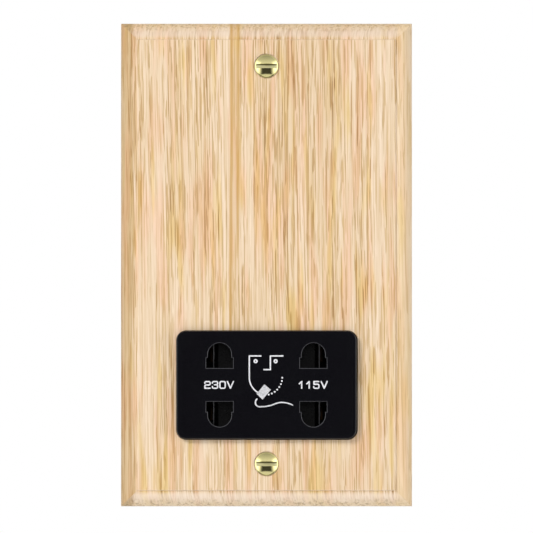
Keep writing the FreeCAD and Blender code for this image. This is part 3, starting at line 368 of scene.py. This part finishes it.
def laminated_steel():
    # Stacked electrical steel, stamped 0.5 mm thick and varnished: grey edges in thin dark layers.
    material, surface = finish_of("laminated_electrical_steel", {"Metallic": 1.0, "Roughness": 0.5})
    place = add(material, "TexCoord")
    split = add(material, "SeparateXYZ", {0: place.outputs["Object"]})
    turns = add(material, "Math", {0: split.outputs["Y"], 1: 2 * math.pi / (0.5 * MM)},
                operation="MULTIPLY")
    wave = add(material, "Math", {0: turns.outputs[0]}, operation="SINE")
    layer = add(material, "MapRange", {0: wave.outputs[0], 1: -0.9, 2: 0.1})
    rust = add(material, "TexNoise", {"Vector": place.outputs["Object"], "Scale": 1 / (4.55 * MM),
                                      "Detail": 4})
    patch = add(material, "MapRange", {0: rust.outputs[0], 1: 0.55, 2: 0.75})
    steel = add(material, "Mix", {0: patch.outputs[0], 6: linear("8d8f94"), 7: linear("7d746b")},
                data_type="RGBA")
    tone = add(material, "Mix", {0: layer.outputs[0], 6: linear("3a3b3f"), 7: steel.outputs[2]},
               data_type="RGBA")
    bump = add(material, "Bump", {"Height": layer.outputs[0], "Strength": 0.5,
                                  "Distance": 0.06 * MM})
    feed(material, surface, Base_Color=tone.outputs[2], Normal=bump.outputs[0])
    return material


def wound_copper():
    # Enamelled copper wire, wound in close layers 0.4 mm apart: fine ridges with a red-brown shine.
    material, surface = finish_of("enamelled_copper_winding", {"Metallic": 1.0, "Roughness": 0.28,
                                                               "Coat Weight": 0.5})
    place = add(material, "TexCoord")
    split = add(material, "SeparateXYZ", {0: place.outputs["Object"]})
    turns = add(material, "Math", {0: split.outputs["Z"], 1: 2 * math.pi / (0.4 * MM)},
                operation="MULTIPLY")
    wave = add(material, "Math", {0: turns.outputs[0]}, operation="SINE")
    ridge = add(material, "MapRange", {0: wave.outputs[0], 1: -1, 2: 1})
    # The grooves between the turns are painted darker than the crests: painted shade between the wires.
    tone = add(material, "Mix", {0: ridge.outputs[0], 6: linear("6b2d14"), 7: linear("c4703c")},
               data_type="RGBA")
    bump = add(material, "Bump", {"Height": ridge.outputs[0], "Strength": 0.8,
                                  "Distance": 0.1 * MM})
    feed(material, surface, Base_Color=tone.outputs[2], Normal=bump.outputs[0])
    return material


def extruded_pvc(name, colour, darker):
    # Extruded PVC insulation: smooth, soft gloss, with a faint waviness along the wire.
    material, surface = finish_of(name, {"Roughness": 0.38, "IOR": 1.53})
    place = add(material, "TexCoord")
    skin = add(material, "TexNoise", {"Vector": place.outputs["Object"], "Scale": 1 / (1.43 * MM),
                                      "Detail": 2})
    amount = add(material, "MapRange", {0: skin.outputs[0], 1: 0.3, 2: 0.7})
    tone = add(material, "Mix", {0: amount.outputs[0], 6: linear(colour), 7: linear(darker)},
               data_type="RGBA")
    bump = add(material, "Bump", {"Height": skin.outputs[0], "Strength": 0.2,
                                  "Distance": 0.04 * MM})
    feed(material, surface, Base_Color=tone.outputs[2], Normal=bump.outputs[0])
    return material


def adhesive_tape():
    # Polyester film tape: yellow, glossy, a little wrinkled where it laps.
    material, surface = finish_of("polyester_film_tape", {"Roughness": 0.22, "IOR": 1.6})
    place = add(material, "TexCoord")
    creases = add(material, "Mapping", {"Vector": place.outputs["Object"], "Scale": pitch(8.3, 8.3, 1.67)})
    folds = add(material, "TexNoise", {"Vector": creases.outputs[0], "Scale": 1, "Detail": 3})
    amount = add(material, "MapRange", {0: folds.outputs[0], 1: 0.35, 2: 0.65})
    tone = add(material, "Mix", {0: amount.outputs[0], 6: linear("e0b23c"), 7: linear("c7952a")},
               data_type="RGBA")
    bump = add(material, "Bump", {"Height": folds.outputs[0], "Strength": 0.4,
                                  "Distance": 0.1 * MM})
    feed(material, surface, Base_Color=tone.outputs[2], Normal=bump.outputs[0])
    return material


materials = {
    "oak": oak_lacquered(),
    "brass_polished": turned_brass("polished_brass", "ebe0a0", 0.08, 0.17),
    "slot_brass": turned_brass("milled_brass", "d8d2a2", 0.5, 0.65, metallic=0.3),
    # Painted shadow for the strip along the upper side of each slot
    "slot_painted_shadow": turned_brass("brass_painted_slot_shadow", "6f6a3c", 0.4, 0.6, metallic=0.3),
    "black_moulding": moulded_plastic("black_urea_moulding", "06050b", 0.22, 0.9, 0.002, "08080d"),
    # Painted highlight for the rounded lips round the apertures
    "lip_painted_highlight": moulded_plastic("black_urea_painted_highlight", "3c3c40", 0.3, 0.9, 0.002, "46464a"),
    "print_white": printed_ink("white_pad_printing_ink", "c6c7ca", "e9e9ed"),
    "print_grey": printed_ink("screened_grey_printing_ink", "a2a3a6", "d2d2d5"),
    # Painted highlight for the shutter's ramped ends
    "shutter_end_painted_highlight": moulded_plastic("black_acetal_painted_highlight", "8a8a8d", 0.4, 0.6, 0.004, "9b9b9e"),
    "shutter_moulding": moulded_plastic("black_acetal_satin", "060607", 0.3, 0.6, 0.003, "09090a"),
    "grey_moulding": moulded_plastic("grey_polycarbonate", "8f9294", 0.45, 0.5, 0.015, "939698"),
    "carrier_moulding": moulded_plastic("black_polyester_moulding", "131315", 0.4, 0.5, 0.01, "19191b"),
    "zinc_steel": sheet_metal("zinc_plated_steel", "b9bdc2", "a4a8a6", 0.3, (3.3, 3.3, 0.25)),
    "spring_steel": sheet_metal("drawn_spring_steel", "8c8c8f", "77787c", 0.25, (2.5, 0.33, 0.33)),
    "contact_bronze": sheet_metal("tarnished_phosphor_bronze", "5a412a", "33261b", 0.34,
                                  (3.3, 0.4, 0.4)),
    "terminal_brass": sheet_metal("machined_brass", "d8bd70", "c3a65c", 0.24, (0.29, 0.29, 2.5)),
    "lamination_steel": laminated_steel(),
    "nylon_bobbin": moulded_plastic("natural_nylon", "dedacb", 0.5, 0.6, 0.008, "d4cfbd"),
    "enamelled_copper": wound_copper(),
    "polyester_tape": adhesive_tape(),
    "cutout_case": moulded_plastic("black_phenolic", "1c1c1f", 0.3, 0.4, 0.006, "232326"),
    "insulation_brown": extruded_pvc("brown_pvc", "5a3117", "4c2912"),
    "insulation_blue": extruded_pvc("blue_pvc", "2a5aa8", "234f97"),
    "insulation_red": extruded_pvc("red_pvc", "a02020", "8e1a1a"),
    "insulation_white": extruded_pvc("white_pvc", "dedcd6", "d0cdc6"),
}


# Mesh helpers
def mesh_piece(name, build, material):
    # A finished mesh object at the origin, smooth except along edges sharper than 30 degrees.
    bm = bmesh.new()
    build(bm)
    bmesh.ops.recalc_face_normals(bm, faces=bm.faces)
    mesh = bpy.data.meshes.new(name)
    bm.to_mesh(mesh)
    bm.free()
    piece = bpy.data.objects.new(name, mesh)
    bpy.context.scene.collection.objects.link(piece)
    mesh.materials.append(material)
    shade(mesh, 30)
    return piece


def shade(mesh, degrees):
    for face in mesh.polygons:
        face.use_smooth = True
    mesh.set_sharp_from_angle(angle=math.radians(degrees))


def applied(piece):
    # The piece with its modifiers made part of its mesh.
    bpy.context.view_layer.update()
    shaped = piece.evaluated_get(bpy.context.evaluated_depsgraph_get())
    mesh = bpy.data.meshes.new_from_object(shaped)
    piece.modifiers.clear()
    piece.data = mesh
    return piece


def cut_away(piece, build, keep_common=False):
    cutter = mesh_piece(piece.name + "_cutter", build, piece.data.materials[0])
    change = piece.modifiers.new("cut", "BOOLEAN")
    change.operation = "INTERSECT" if keep_common else "DIFFERENCE"
    change.solver = "MANIFOLD"
    change.object = cutter
    applied(piece)
    bpy.data.objects.remove(cutter)
    return piece


def edge_broken(piece, width_mm, degrees=35, segments=2):
    # Breaks sharp edges by a small rounding, as moulding, stamping or sanding leaves them.
    bevel = piece.modifiers.new("edge", "BEVEL")
    bevel.width = width_mm * MM
    bevel.segments = segments
    bevel.limit_method = "ANGLE"
    bevel.angle_limit = math.radians(degrees)
    bevel.use_clamp_overlap = True
    bevel.harden_normals = False
    applied(piece)
    shade(piece.data, 40)
    return flats_evened(piece)


def flats_evened(piece):
    # Flat faces are shaded flat right up to the roundings beside them.
    change = piece.modifiers.new("flats", "WEIGHTED_NORMAL")
    change.weight = 100
    change.keep_sharp = True
    return applied(piece)


def block(bm, x0, x1, y0, y1, z0, z1):
    # A box between the given planes, in millimetres.
    size = Matrix.Diagonal((x1 - x0, y1 - y0, z1 - z0, 1000)) * MM
    size[3][3] = 1
    middle = Matrix.Translation(Vector((x0 + x1, y0 + y1, z0 + z1)) * MM / 2)
    return bmesh.ops.create_cube(bm, size=1, matrix=middle @ size)["verts"]


def turned(bm, profile, x, z, steps=64):
    # A shape turned round an axis along Y, from (radius, y) points in millimetres.
    points = [bm.verts.new((x * MM + r * MM, y * MM, z * MM)) for r, y in profile]
    edges = [bm.edges.new(pair) for pair in zip(points, points[1:])]
    bmesh.ops.spin(bm, geom=points + edges, cent=(x * MM, 0, z * MM), axis=(0, 1, 0),
                   angle=2 * math.pi, steps=steps, use_merge=True)
    bmesh.ops.remove_doubles(bm, verts=bm.verts, dist=1e-7)


# Front plate
def plate_profile():
    # (inset from the plate's outline, level), from the back edge to the rim of the face.
    r = edge_round
    corner = [(r - r * math.sin(t), -r + r * math.cos(t)) for t in steps_of(0, 90, 4)]
    centre_y = plate_face + quirk_depth + moulding_radius
    ovolo = [(moulding_radius - moulding_radius * math.cos(t), centre_y - moulding_radius * math.sin(t))
             for t in steps_of(0, 90, 22)]
    rim = [(moulding_radius + r - r * math.cos(t), plate_face + r - r * math.sin(t))
           for t in steps_of(0, 90, 4)]
    return corner + ovolo + rim


def steps_of(start, end, count):
    return [math.radians(start + (end - start) * i / count) for i in range(count + 1)]


def plate_board(bm):
    # Drawn up from the back face, level by level, along the moulding's profile.
    low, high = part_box("front_plate")
    upright = Matrix.Rotation(math.pi / 2, 4, "X")
    bmesh.ops.create_grid(bm, x_segments=1, y_segments=1, size=1, matrix=upright)
    face = bm.faces[:][0]
    for step, (inset, y) in enumerate(plate_profile()):
        if step:
            grown = bmesh.ops.extrude_face_region(bm, geom=[face] + face.edges[:])["geom"]
            face = [part for part in grown if isinstance(part, bmesh.types.BMFace)][0]
        for vert in face.verts:
            across = math.copysign(high.x - inset * MM, vert.co.x)
            up = math.copysign(high.z - inset * MM, vert.co.z)
            vert.co = (across, y * MM, up)


def window_cutter(bm):
    # The insert sits a little up and to the left in its opening, so the gap is wider at the right and
    # below.
    rounded_prism(bm, insert_half_width + window_gap, insert_half_height + window_gap,
                  insert_corner + window_gap, plate_face - 1, 1 - pocket_depth,
                  window_shift, insert_z - window_shift)


def rounded_prism(bm, half_x, half_z, corner, y0, y1, x, z):
    # A block with its four upright edges rounded.
    block(bm, x - half_x, x + half_x, y0, y1, z - half_z, z + half_z)
    upright = [e for e in bm.edges if abs(e.verts[0].co.y - e.verts[1].co.y) > 1e-5]
    bmesh.ops.bevel(bm, geom=upright, offset=corner * MM, segments=12, affect="EDGES", profile=0.5,
                    material=-1, offset_type="OFFSET")


def plate_pocket(bm):
    # The pocket in the back that takes the mounting base.
    block(bm, -pocket_half_width, pocket_half_width, -pocket_depth, 1,
          -pocket_half_height, pocket_half_height)


def plate_ledge(bm):
    # The shallower and wider step on which the retaining rails lie.
    block(bm, -ledge_half_width, ledge_half_width, -ledge_depth, 1,
          -pocket_half_height, pocket_half_height)


def flange_rebate(bm):
    rounded_prism(bm, insert_half_width + flange_margin, insert_half_height + flange_margin,
                  insert_corner + flange_margin, flange_front, 1 - pocket_depth, 0, insert_z)


def screw_hole(z):
    # Countersunk from the front, with a hair's room round the head.
    return lambda bm: turned(bm, [(0, 1), (shank_hole, 1), (shank_hole, head_seat - 0.35),
                                  (head_radius + 0.2, plate_face + 0.05),
                                  (head_radius + 0.5, plate_face - 0.4), (0, plate_face - 0.4)], 0, z)


def front_plate():
    piece = mesh_piece("oak_front_plate", plate_board, materials["oak"])
    for cutter in (window_cutter, plate_pocket, plate_ledge, flange_rebate, screw_hole(fixing_z),
                   screw_hole(-fixing_z)):
        cut_away(piece, cutter)
    shade(piece.data, 30)
    sharpen_mitres(piece.data)
    return flats_evened(piece)


def sharpen_mitres(mesh):
    # The moulding's corners are mitred crisply, also where the two sides lie nearly level.
    low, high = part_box("front_plate")
    sharp = mesh.attributes.get("sharp_edge") or mesh.attributes.new("sharp_edge", "BOOLEAN", "EDGE")
    for edge in mesh.edges:
        ends = [mesh.vertices[i].co for i in edge.vertices]
        on_mitre = all(abs((high.x - abs(p.x)) - (high.z - abs(p.z))) < 1e-6 for p in ends)
        same_corner = ends[0].x * ends[1].x > 0 and ends[0].z * ends[1].z > 0
        if on_mitre and same_corner:
            sharp.data[edge.index].value = True


# Fixing screws
def head_and_shank(z):
    def build(bm):
        ball = (head_radius ** 2 + head_rise ** 2) / (2 * head_rise)
        half_angle = math.asin((head_radius - rim_round) / ball)
        top = plate_face - head_rise
        dome = [(ball * math.sin(t), top + ball - ball * math.cos(t))
                for t in steps_of(0, math.degrees(half_angle), 18)]
        rim_y = dome[-1][1] + rim_round * 0.9
        rim = [(head_radius - rim_round + rim_round * math.sin(t), rim_y - rim_round * 0.9 * math.cos(t))
               for t in steps_of(25, 90, 5)]
        shank = [(head_radius - 0.1, plate_face + 0.15), (shank_radius, head_seat),
                 (shank_radius, thread_start), (thread_root, thread_start + 0.1),
                 (thread_root, screw_tip - 1), (0.9, screw_tip), (0, screw_tip)]
        turned(bm, dome + rim + shank, 0, z)
    return build


def head_slot(z):
    def build(bm):
        top = plate_face - head_rise
        block(bm, -5, 5, top - 1, top + slot_depth, z - slot_width / 2, z + slot_width / 2)
    return build


def thread(z):
    # One ridge wound round the shank from just behind the plate to near the tip.
    def build(bm):
        start = thread_start + 0.1
        turns = int((screw_tip - 1.6 - start) / thread_pitch)
        ridge = [(thread_root - 0.05, start), (thread_radius, start + 0.27), (thread_radius, start + 0.33),
                 (thread_root - 0.05, start + 0.6)]
        points = [bm.verts.new((r * MM, y * MM, z * MM)) for r, y in ridge]
        face = bm.faces.new(points)
        bmesh.ops.spin(bm, geom=[face], cent=(0, 0, z * MM), axis=(0, 1, 0),
                       dvec=(0, thread_pitch * MM / 24, 0), angle=2 * math.pi * turns, steps=24 * turns)
    return build


def fixing_screws():
    parts = []
    for z in (fixing_z, -fixing_z):
        screw = mesh_piece("brass_fixing_screw", head_and_shank(z), materials["brass_polished"])
        cut_away(screw, head_slot(z))
        edge_broken(screw, 0.13, degrees=45, segments=3)
        slot_floor_and_painted_shadow(screw, z)
        parts += [screw, mesh_piece("thread", thread(z), materials["brass_polished"])]
    return joined("brass_fixing_screws", parts)


def slot_floor_and_painted_shadow(screw, z):
    # The floor of the slot shows the cutter's marks, and a strip along its upper side is painted dark: a
    # painted shadow of the slot's upper wall.
    screw.data.materials.append(materials["slot_brass"])
    screw.data.materials.append(materials["slot_painted_shadow"])
    floor_y = plate_face - head_rise + slot_depth
    painted_shadow_z = z + slot_width / 2 - slot_painted_shadow_strip
    bm = bmesh.new()
    bm.from_mesh(screw.data)
    bmesh.ops.bisect_plane(bm, geom=bm.verts[:] + bm.edges[:] + bm.faces[:], dist=1e-7,
                           plane_co=(0, 0, painted_shadow_z * MM), plane_no=(0, 0, 1))
    for face in bm.faces:
        x, y, up = face.calc_center_median() / MM
        on_floor = abs(y - floor_y) < 0.02 and face.normal.y < -0.9 and abs(up - z) < slot_width / 2
        face.material_index = (2 if up > painted_shadow_z else 1) if on_floor else 0
    bm.to_mesh(screw.data)
    bm.free()


def joined(name, parts):
    # Several finished meshes as one object.
    bm = bmesh.new()
    for part in parts:
        bm.from_mesh(part.data)
    mesh = bpy.data.meshes.new(name)
    bm.to_mesh(mesh)
    bm.free()
    for material in parts[0].data.materials:
        mesh.materials.append(material)
    piece = bpy.data.objects.new(name, mesh)
    bpy.context.scene.collection.objects.link(piece)
    for part in parts:
        bpy.data.objects.remove(part)
    return piece


# Socket insert
def aperture_points(x, sign):
    # The D-shaped outline of one aperture, (across, up) in millimetres.
    half = base_half_width
    corners = [(-arch_radius, aperture_shoulder), (-half, aperture_shoulder), (-half, aperture_inner),
               (half, aperture_inner), (half, aperture_shoulder), (arch_radius, aperture_shoulder)]
    crown = [(arch_radius * math.cos(t), arch_centre + arch_radius * math.sin(t))
             for t in steps_of(0, 180, 36)]
    return [(x + px, insert_z + sign * pz) for px, pz in corners + crown]


def face_slab():
    # The insert's front wall with rounded lips round its apertures, drawn larger than the insert, whose
    # outline is cut from it.
    outline = bpy.data.curves.new("face_outline", "CURVE")
    outline.dimensions = "2D"
    outline.fill_mode = "BOTH"
    loops = [aperture_points(x, sign) for x in (-pin_spread, pin_spread) for sign in (1, -1)]
    loops.append([(x, insert_z + up) for x, up in ((-30, -19), (30, -19), (30, 19), (-30, 19))])
    for loop in loops:
        line = outline.splines.new("POLY")
        line.points.add(len(loop) - 1)
        for point, (px, pz) in zip(line.points, loop):
            point.co = (px * MM, pz * MM, 0, 1)
        line.use_cyclic_u = True
    outline.extrude = (slab_thickness / 2 - lip_round) * MM
    outline.bevel_depth = lip_round * MM
    outline.bevel_resolution = 3
    outline.offset = -lip_round * MM
    shape = bpy.data.objects.new("face_outline", outline)
    bpy.context.scene.collection.objects.link(shape)
    bpy.context.view_layer.update()
    mesh = bpy.data.meshes.new_from_object(shape)
    bpy.data.objects.remove(shape)
    middle = Matrix.Translation((0, (insert_front + slab_thickness / 2) * MM, 0))
    mesh.transform(middle @ Matrix.Rotation(math.pi / 2, 4, "X"))
    slab = bpy.data.objects.new("insert_face", mesh)
    bpy.context.scene.collection.objects.link(slab)
    mesh.materials.clear()
    mesh.materials.append(materials["black_moulding"])
    mesh.materials.append(materials["lip_painted_highlight"])
    bm = bmesh.new()
    bm.from_mesh(mesh)
    bmesh.ops.remove_doubles(bm, verts=bm.verts, dist=1e-6)
    bmesh.ops.recalc_face_normals(bm, faces=bm.faces)
    # The rounded lips are painted paler: a painted highlight along the apertures' edges.
    for face in bm.faces:
        face.material_index = int(-0.97 < face.normal.y < -0.1)
    bm.to_mesh(mesh)
    bm.free()
    return slab


def insert_envelope(bm):
    # The insert's outline and rim. Its front stands a hair ahead of the slab's, so that the two never
    # share a plane.
    level = insert_front - 0.02
    rounded_prism(bm, insert_half_width, insert_half_height, insert_corner, level, plate_face + 1,
                  0, insert_z)
    front = [e for e in bm.edges if all(abs(v.co.y - level * MM) < 1e-6 for v in e.verts)]
    bmesh.ops.bevel(bm, geom=front, offset=insert_rim * MM, segments=5, affect="EDGES", profile=0.5,
                    material=-1)


def cad_copy(node, name, material):
    # A merged copy of a CAD node's mesh, with the flat faces joined.
    mesh = frame["nodes"][node].data.copy()
    mesh.name = name
    mesh.materials.clear()
    mesh.materials.append(material)
    bm = bmesh.new()
    bm.from_mesh(mesh)
    bmesh.ops.remove_doubles(bm, verts=bm.verts, dist=1e-6)
    bmesh.ops.dissolve_limit(bm, angle_limit=math.radians(0.5), verts=bm.verts, edges=bm.edges)
    bm.to_mesh(mesh)
    bm.free()
    piece = bpy.data.objects.new(name, mesh)
    bpy.context.scene.collection.objects.link(piece)
    return piece


def socket_insert():
    # The slab takes the place of the part's own front wall, just behind the slab's back.
    slab = face_slab()
    cut_away(slab, insert_envelope, keep_common=True)
    behind_slab = insert_front + slab_thickness - 0.05
    body = cad_copy("socket_insert", "insert_body", materials["black_moulding"])
    bm = bmesh.new()
    bm.from_mesh(body.data)
    bmesh.ops.bisect_plane(bm, geom=bm.verts[:] + bm.edges[:] + bm.faces[:], dist=1e-7,
                           plane_co=(0, behind_slab * MM, 0), plane_no=(0, -1, 0), clear_outer=True)
    open_edges = [e for e in bm.edges if e.is_boundary]
    bmesh.ops.triangle_fill(bm, edges=open_edges, use_beauty=True, use_dissolve=True)
    bm.to_mesh(body.data)
    bm.free()
    piece = joined("black_socket_insert", [slab, body])
    shade(piece.data, 30)
    sharpen_rim(piece.data)
    return flats_evened(piece)


def sharpen_rim(mesh):
    # The front stays flat right up to its rounded rim.
    bm = bmesh.new()
    bm.from_mesh(mesh)
    for edge in bm.edges:
        level = [face.normal.y < -0.9999 for face in edge.link_faces]
        middle = (edge.verts[0].co + edge.verts[1].co) / 2
        at_rim = (abs(middle.x) > (insert_half_width - 1.3) * MM
                  or abs(middle.z - insert_z * MM) > (insert_half_height - 1.35) * MM)
        if at_rim and any(level) and not all(level):
            edge.smooth = False
    bm.to_mesh(mesh)
    bm.free()


# Shutter and symbol
def interlock_shutter():
    # The ramped ends are painted pale grey: a painted highlight along the shutter's ends.
    piece = cad_copy("interlock_shutter", "interlock_shutter_finished", materials["shutter_moulding"])
    piece.data.materials.append(materials["shutter_end_painted_highlight"])
    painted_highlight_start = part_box("interlock_shutter")[1].x - (spigot_length + painted_highlight_inset) * MM
    bm = bmesh.new()
    bm.from_mesh(piece.data)
    for side in (-1, 1):
        bmesh.ops.bisect_plane(bm, geom=bm.verts[:] + bm.edges[:] + bm.faces[:], dist=1e-7,
                               plane_co=(side * painted_highlight_start, 0, 0), plane_no=(1, 0, 0))
    for face in bm.faces:
        on_ramp = -0.9 < face.normal.y < -0.5
        face.material_index = int(on_ramp and abs(face.calc_center_median().x) > painted_highlight_start)
    bm.to_mesh(piece.data)
    bm.free()
    edge_broken(piece, 0.12)
    return piece


def shaver_symbol():
    # The shaver in the symbol is printed in a screened grey.
    piece = cad_copy("shaver_symbol", "shaver_symbol_finished", materials["print_white"])
    piece.data.materials.append(materials["print_grey"])
    middle = Vector((-0.9, insert_front - 0.05, insert_z - 2.1)) * MM
    for face in piece.data.polygons:
        face.material_index = int((face.center - middle).length < 0.9 * MM)
    return piece


def return_spring(node):
    # The coil sits between the insert's side wall and the shutter; a smooth-shaded copy of it takes the
    # part's place.
    piece = cad_copy(node, node + "_coil", materials["spring_steel"])
    shade(piece.data, 60)
    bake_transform(piece)
    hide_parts(node)


# All pieces
def placed(piece, body, slot, *nodes):
    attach(piece, body)
    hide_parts(*nodes)
    return piece


slot_of = {part["node"]: part["material_slot"] for part in frame["record"]["subparts"]}
body_of = {node: body for body, nodes in frame["record"]["behaviour"]["bodies"].items() for node in nodes}

placed(front_plate(), "unit", "oak", "front_plate")
placed(fixing_screws(), "unit", "brass_polished", "fixing_screws")
placed(socket_insert(), "unit", "black_moulding", "socket_insert")
placed(interlock_shutter(), "shutter", "shutter_moulding", "interlock_shutter")
placed(shaver_symbol(), "unit", "print_white", "shaver_symbol")
return_spring("return_spring_left")
return_spring("return_spring_right")

# The width in millimetres to which each moulded, stamped or turned piece has its edges broken
edge_widths = {
    "mounting_base": 0.2, "retaining_rail_left": 0.12,
    "retaining_rail_right": 0.12, "wood_screws": 0.06, "contact_carrier": 0.12, "carrier_screws": 0.06,
    "contact_cover": 0.12, "cover_screws": 0.06, "core_laminations": 0.12, "core_screws": 0.1,
    "bobbin": 0.12, "thermal_cutout": 0.3, "rear_housing": 0.35, "housing_screws": 0.1,
    "terminal_block": 0.3, "block_screws": 0.06, "live_terminal": 0.15, "neutral_terminal": 0.15,
    "earth_terminal": 0.15, "terminal_screws": 0.1, "earth_strap": 0.08, "earth_screw": 0.06,
    "winding_tape": 0.05, "bridge_contact": 0.04,
}
# Wound, bent and printed pieces keep the shape that they have
smooth_only = ["primary_winding", "secondary_winding", "live_lead", "neutral_lead", "switch_lead",
               "primary_lead", "common_lead", "lead_230v", "lead_115v", "common_contact",
               "contact_230v", "contact_115v", "switch_contact_upper", "switch_contact_lower",
               "voltage_legend"]
for node, width in edge_widths.items():
    piece = cad_copy(node, node + "_finished", materials[slot_of[node]])
    edge_broken(piece, width)
    placed(piece, body_of[node], slot_of[node], node)
for node in smooth_only:
    mesh = frame["nodes"][node].data
    mesh.materials.clear()
    mesh.materials.append(materials[slot_of[node]])


# Camera, light and floor
def camera():
    # Straight ahead of the plate, from far off, with the plate filling most of the height.
    distance = 1.5
    view_width = 0.1616
    data = bpy.data.cameras.new("camera")
    data.sensor_width = 36
    data.lens = data.sensor_width * distance / view_width
    data.clip_start = 0.01
    seen_from = bpy.data.objects.new("camera", data)
    seen_from.location = (0, plate_face * MM - distance, -0.45 * MM)
    seen_from.rotation_euler = (math.pi / 2, 0, 0)
    bpy.context.scene.collection.objects.link(seen_from)
    bpy.context.scene.camera = seen_from


def softbox(name, place, size, power):
    data = bpy.data.lights.new(name, "AREA")
    data.shape = "DISK"
    data.size = size
    data.energy = power
    lamp = bpy.data.objects.new(name, data)
    lamp.location = place
    lamp.visible_glossy = False
    lamp.rotation_euler = (-Vector(place)).to_track_quat("-Z", "Y").to_euler()
    bpy.context.scene.collection.objects.link(lamp)


def studio():
    # White all round to the camera. Polished and glossy faces see a studio with bright sides, a dark patch
    # straight ahead and a ceiling that falls off upwards.
    world = bpy.data.worlds.new("studio")
    bpy.context.scene.world = world
    world.use_nodes = True
    world.node_tree.nodes.clear()
    place = add(world, "TexCoord")
    split = add(world, "SeparateXYZ", {0: place.outputs["Generated"]})
    aside = add(world, "Math", {0: split.outputs["X"]}, operation="ABSOLUTE")
    ahead = add(world, "MapRange", {0: split.outputs["Y"], 1: -0.05, 2: -0.2},
                interpolation_type="SMOOTHSTEP")
    # From the floor up: bright, a dark patch in the middle, and a ceiling that falls off.
    ceiling = add(world, "MapRange", {0: split.outputs["Z"], 1: 0.3, 2: 0.95, 3: 0.9, 4: 0.38})
    low_edge = add(world, "MapRange", {0: split.outputs["Z"], 1: -0.8, 2: -0.7, 3: 0.8, 4: 0.06},
                   interpolation_type="SMOOTHSTEP")
    high_edge = add(world, "MapRange", {0: split.outputs["Z"], 1: 0.18, 2: 0.3},
                    interpolation_type="SMOOTHSTEP")
    middle = add(world, "Mix", {0: high_edge.outputs[0], 2: low_edge.outputs[0], 3: ceiling.outputs[0]})
    sides = add(world, "MapRange", {0: split.outputs["Z"], 1: 0.3, 2: 0.6, 3: 2.4, 4: 0.55})
    beside = add(world, "MapRange", {0: aside.outputs[0], 1: 0.4, 2: 0.95}, interpolation_type="SMOOTHSTEP")
    front = add(world, "Mix", {0: beside.outputs[0], 2: middle.outputs[0], 3: sides.outputs[0]})
    mirrored = add(world, "Mix", {0: ahead.outputs[0], 2: 0.6, 3: front.outputs[0]})
    path = add(world, "LightPath")
    clear = add(world, "Math", {0: path.outputs["Is Camera Ray"], 1: path.outputs["Is Transmission Ray"]},
                operation="MAXIMUM")
    glossy = add(world, "Mix", {0: path.outputs["Is Glossy Ray"], 2: 0.27, 3: mirrored.outputs[0]})
    strength = add(world, "Mix", {0: clear.outputs[0], 2: glossy.outputs[0], 3: 1.0})
    light = add(world, "Background", {"Color": linear("ffffff"), "Strength": strength.outputs[0]})
    add(world, "OutputWorld", {"Surface": light.outputs[0]})


def floor():
    material, surface = finish_of("matt_white_studio_floor", {"Base Color": linear("f8f8f8"),
                                                              "Roughness": 0.9})
    piece = mesh_piece("floor", lambda bm: bmesh.ops.create_circle(
        bm, cap_ends=True, segments=96, radius=0.85, matrix=Matrix.Translation((0, 0, -0.275))), material)
    piece.visible_glossy = False


camera()
studio()
softbox("front_softbox", (0.10, -1.25, 0.05), 0.7, 1.75)
softbox("side_softbox", (-1.00, -1.03, 0.95), 0.58, 24.3)
softbox("edge_softbox", (1.00, -0.30, -0.15), 0.45, 3.9)
softbox("back_softbox", (0.30, 1.30, 0.60), 0.6, 9.0)
floor()
bpy.context.scene.view_settings.view_transform = "Standard"
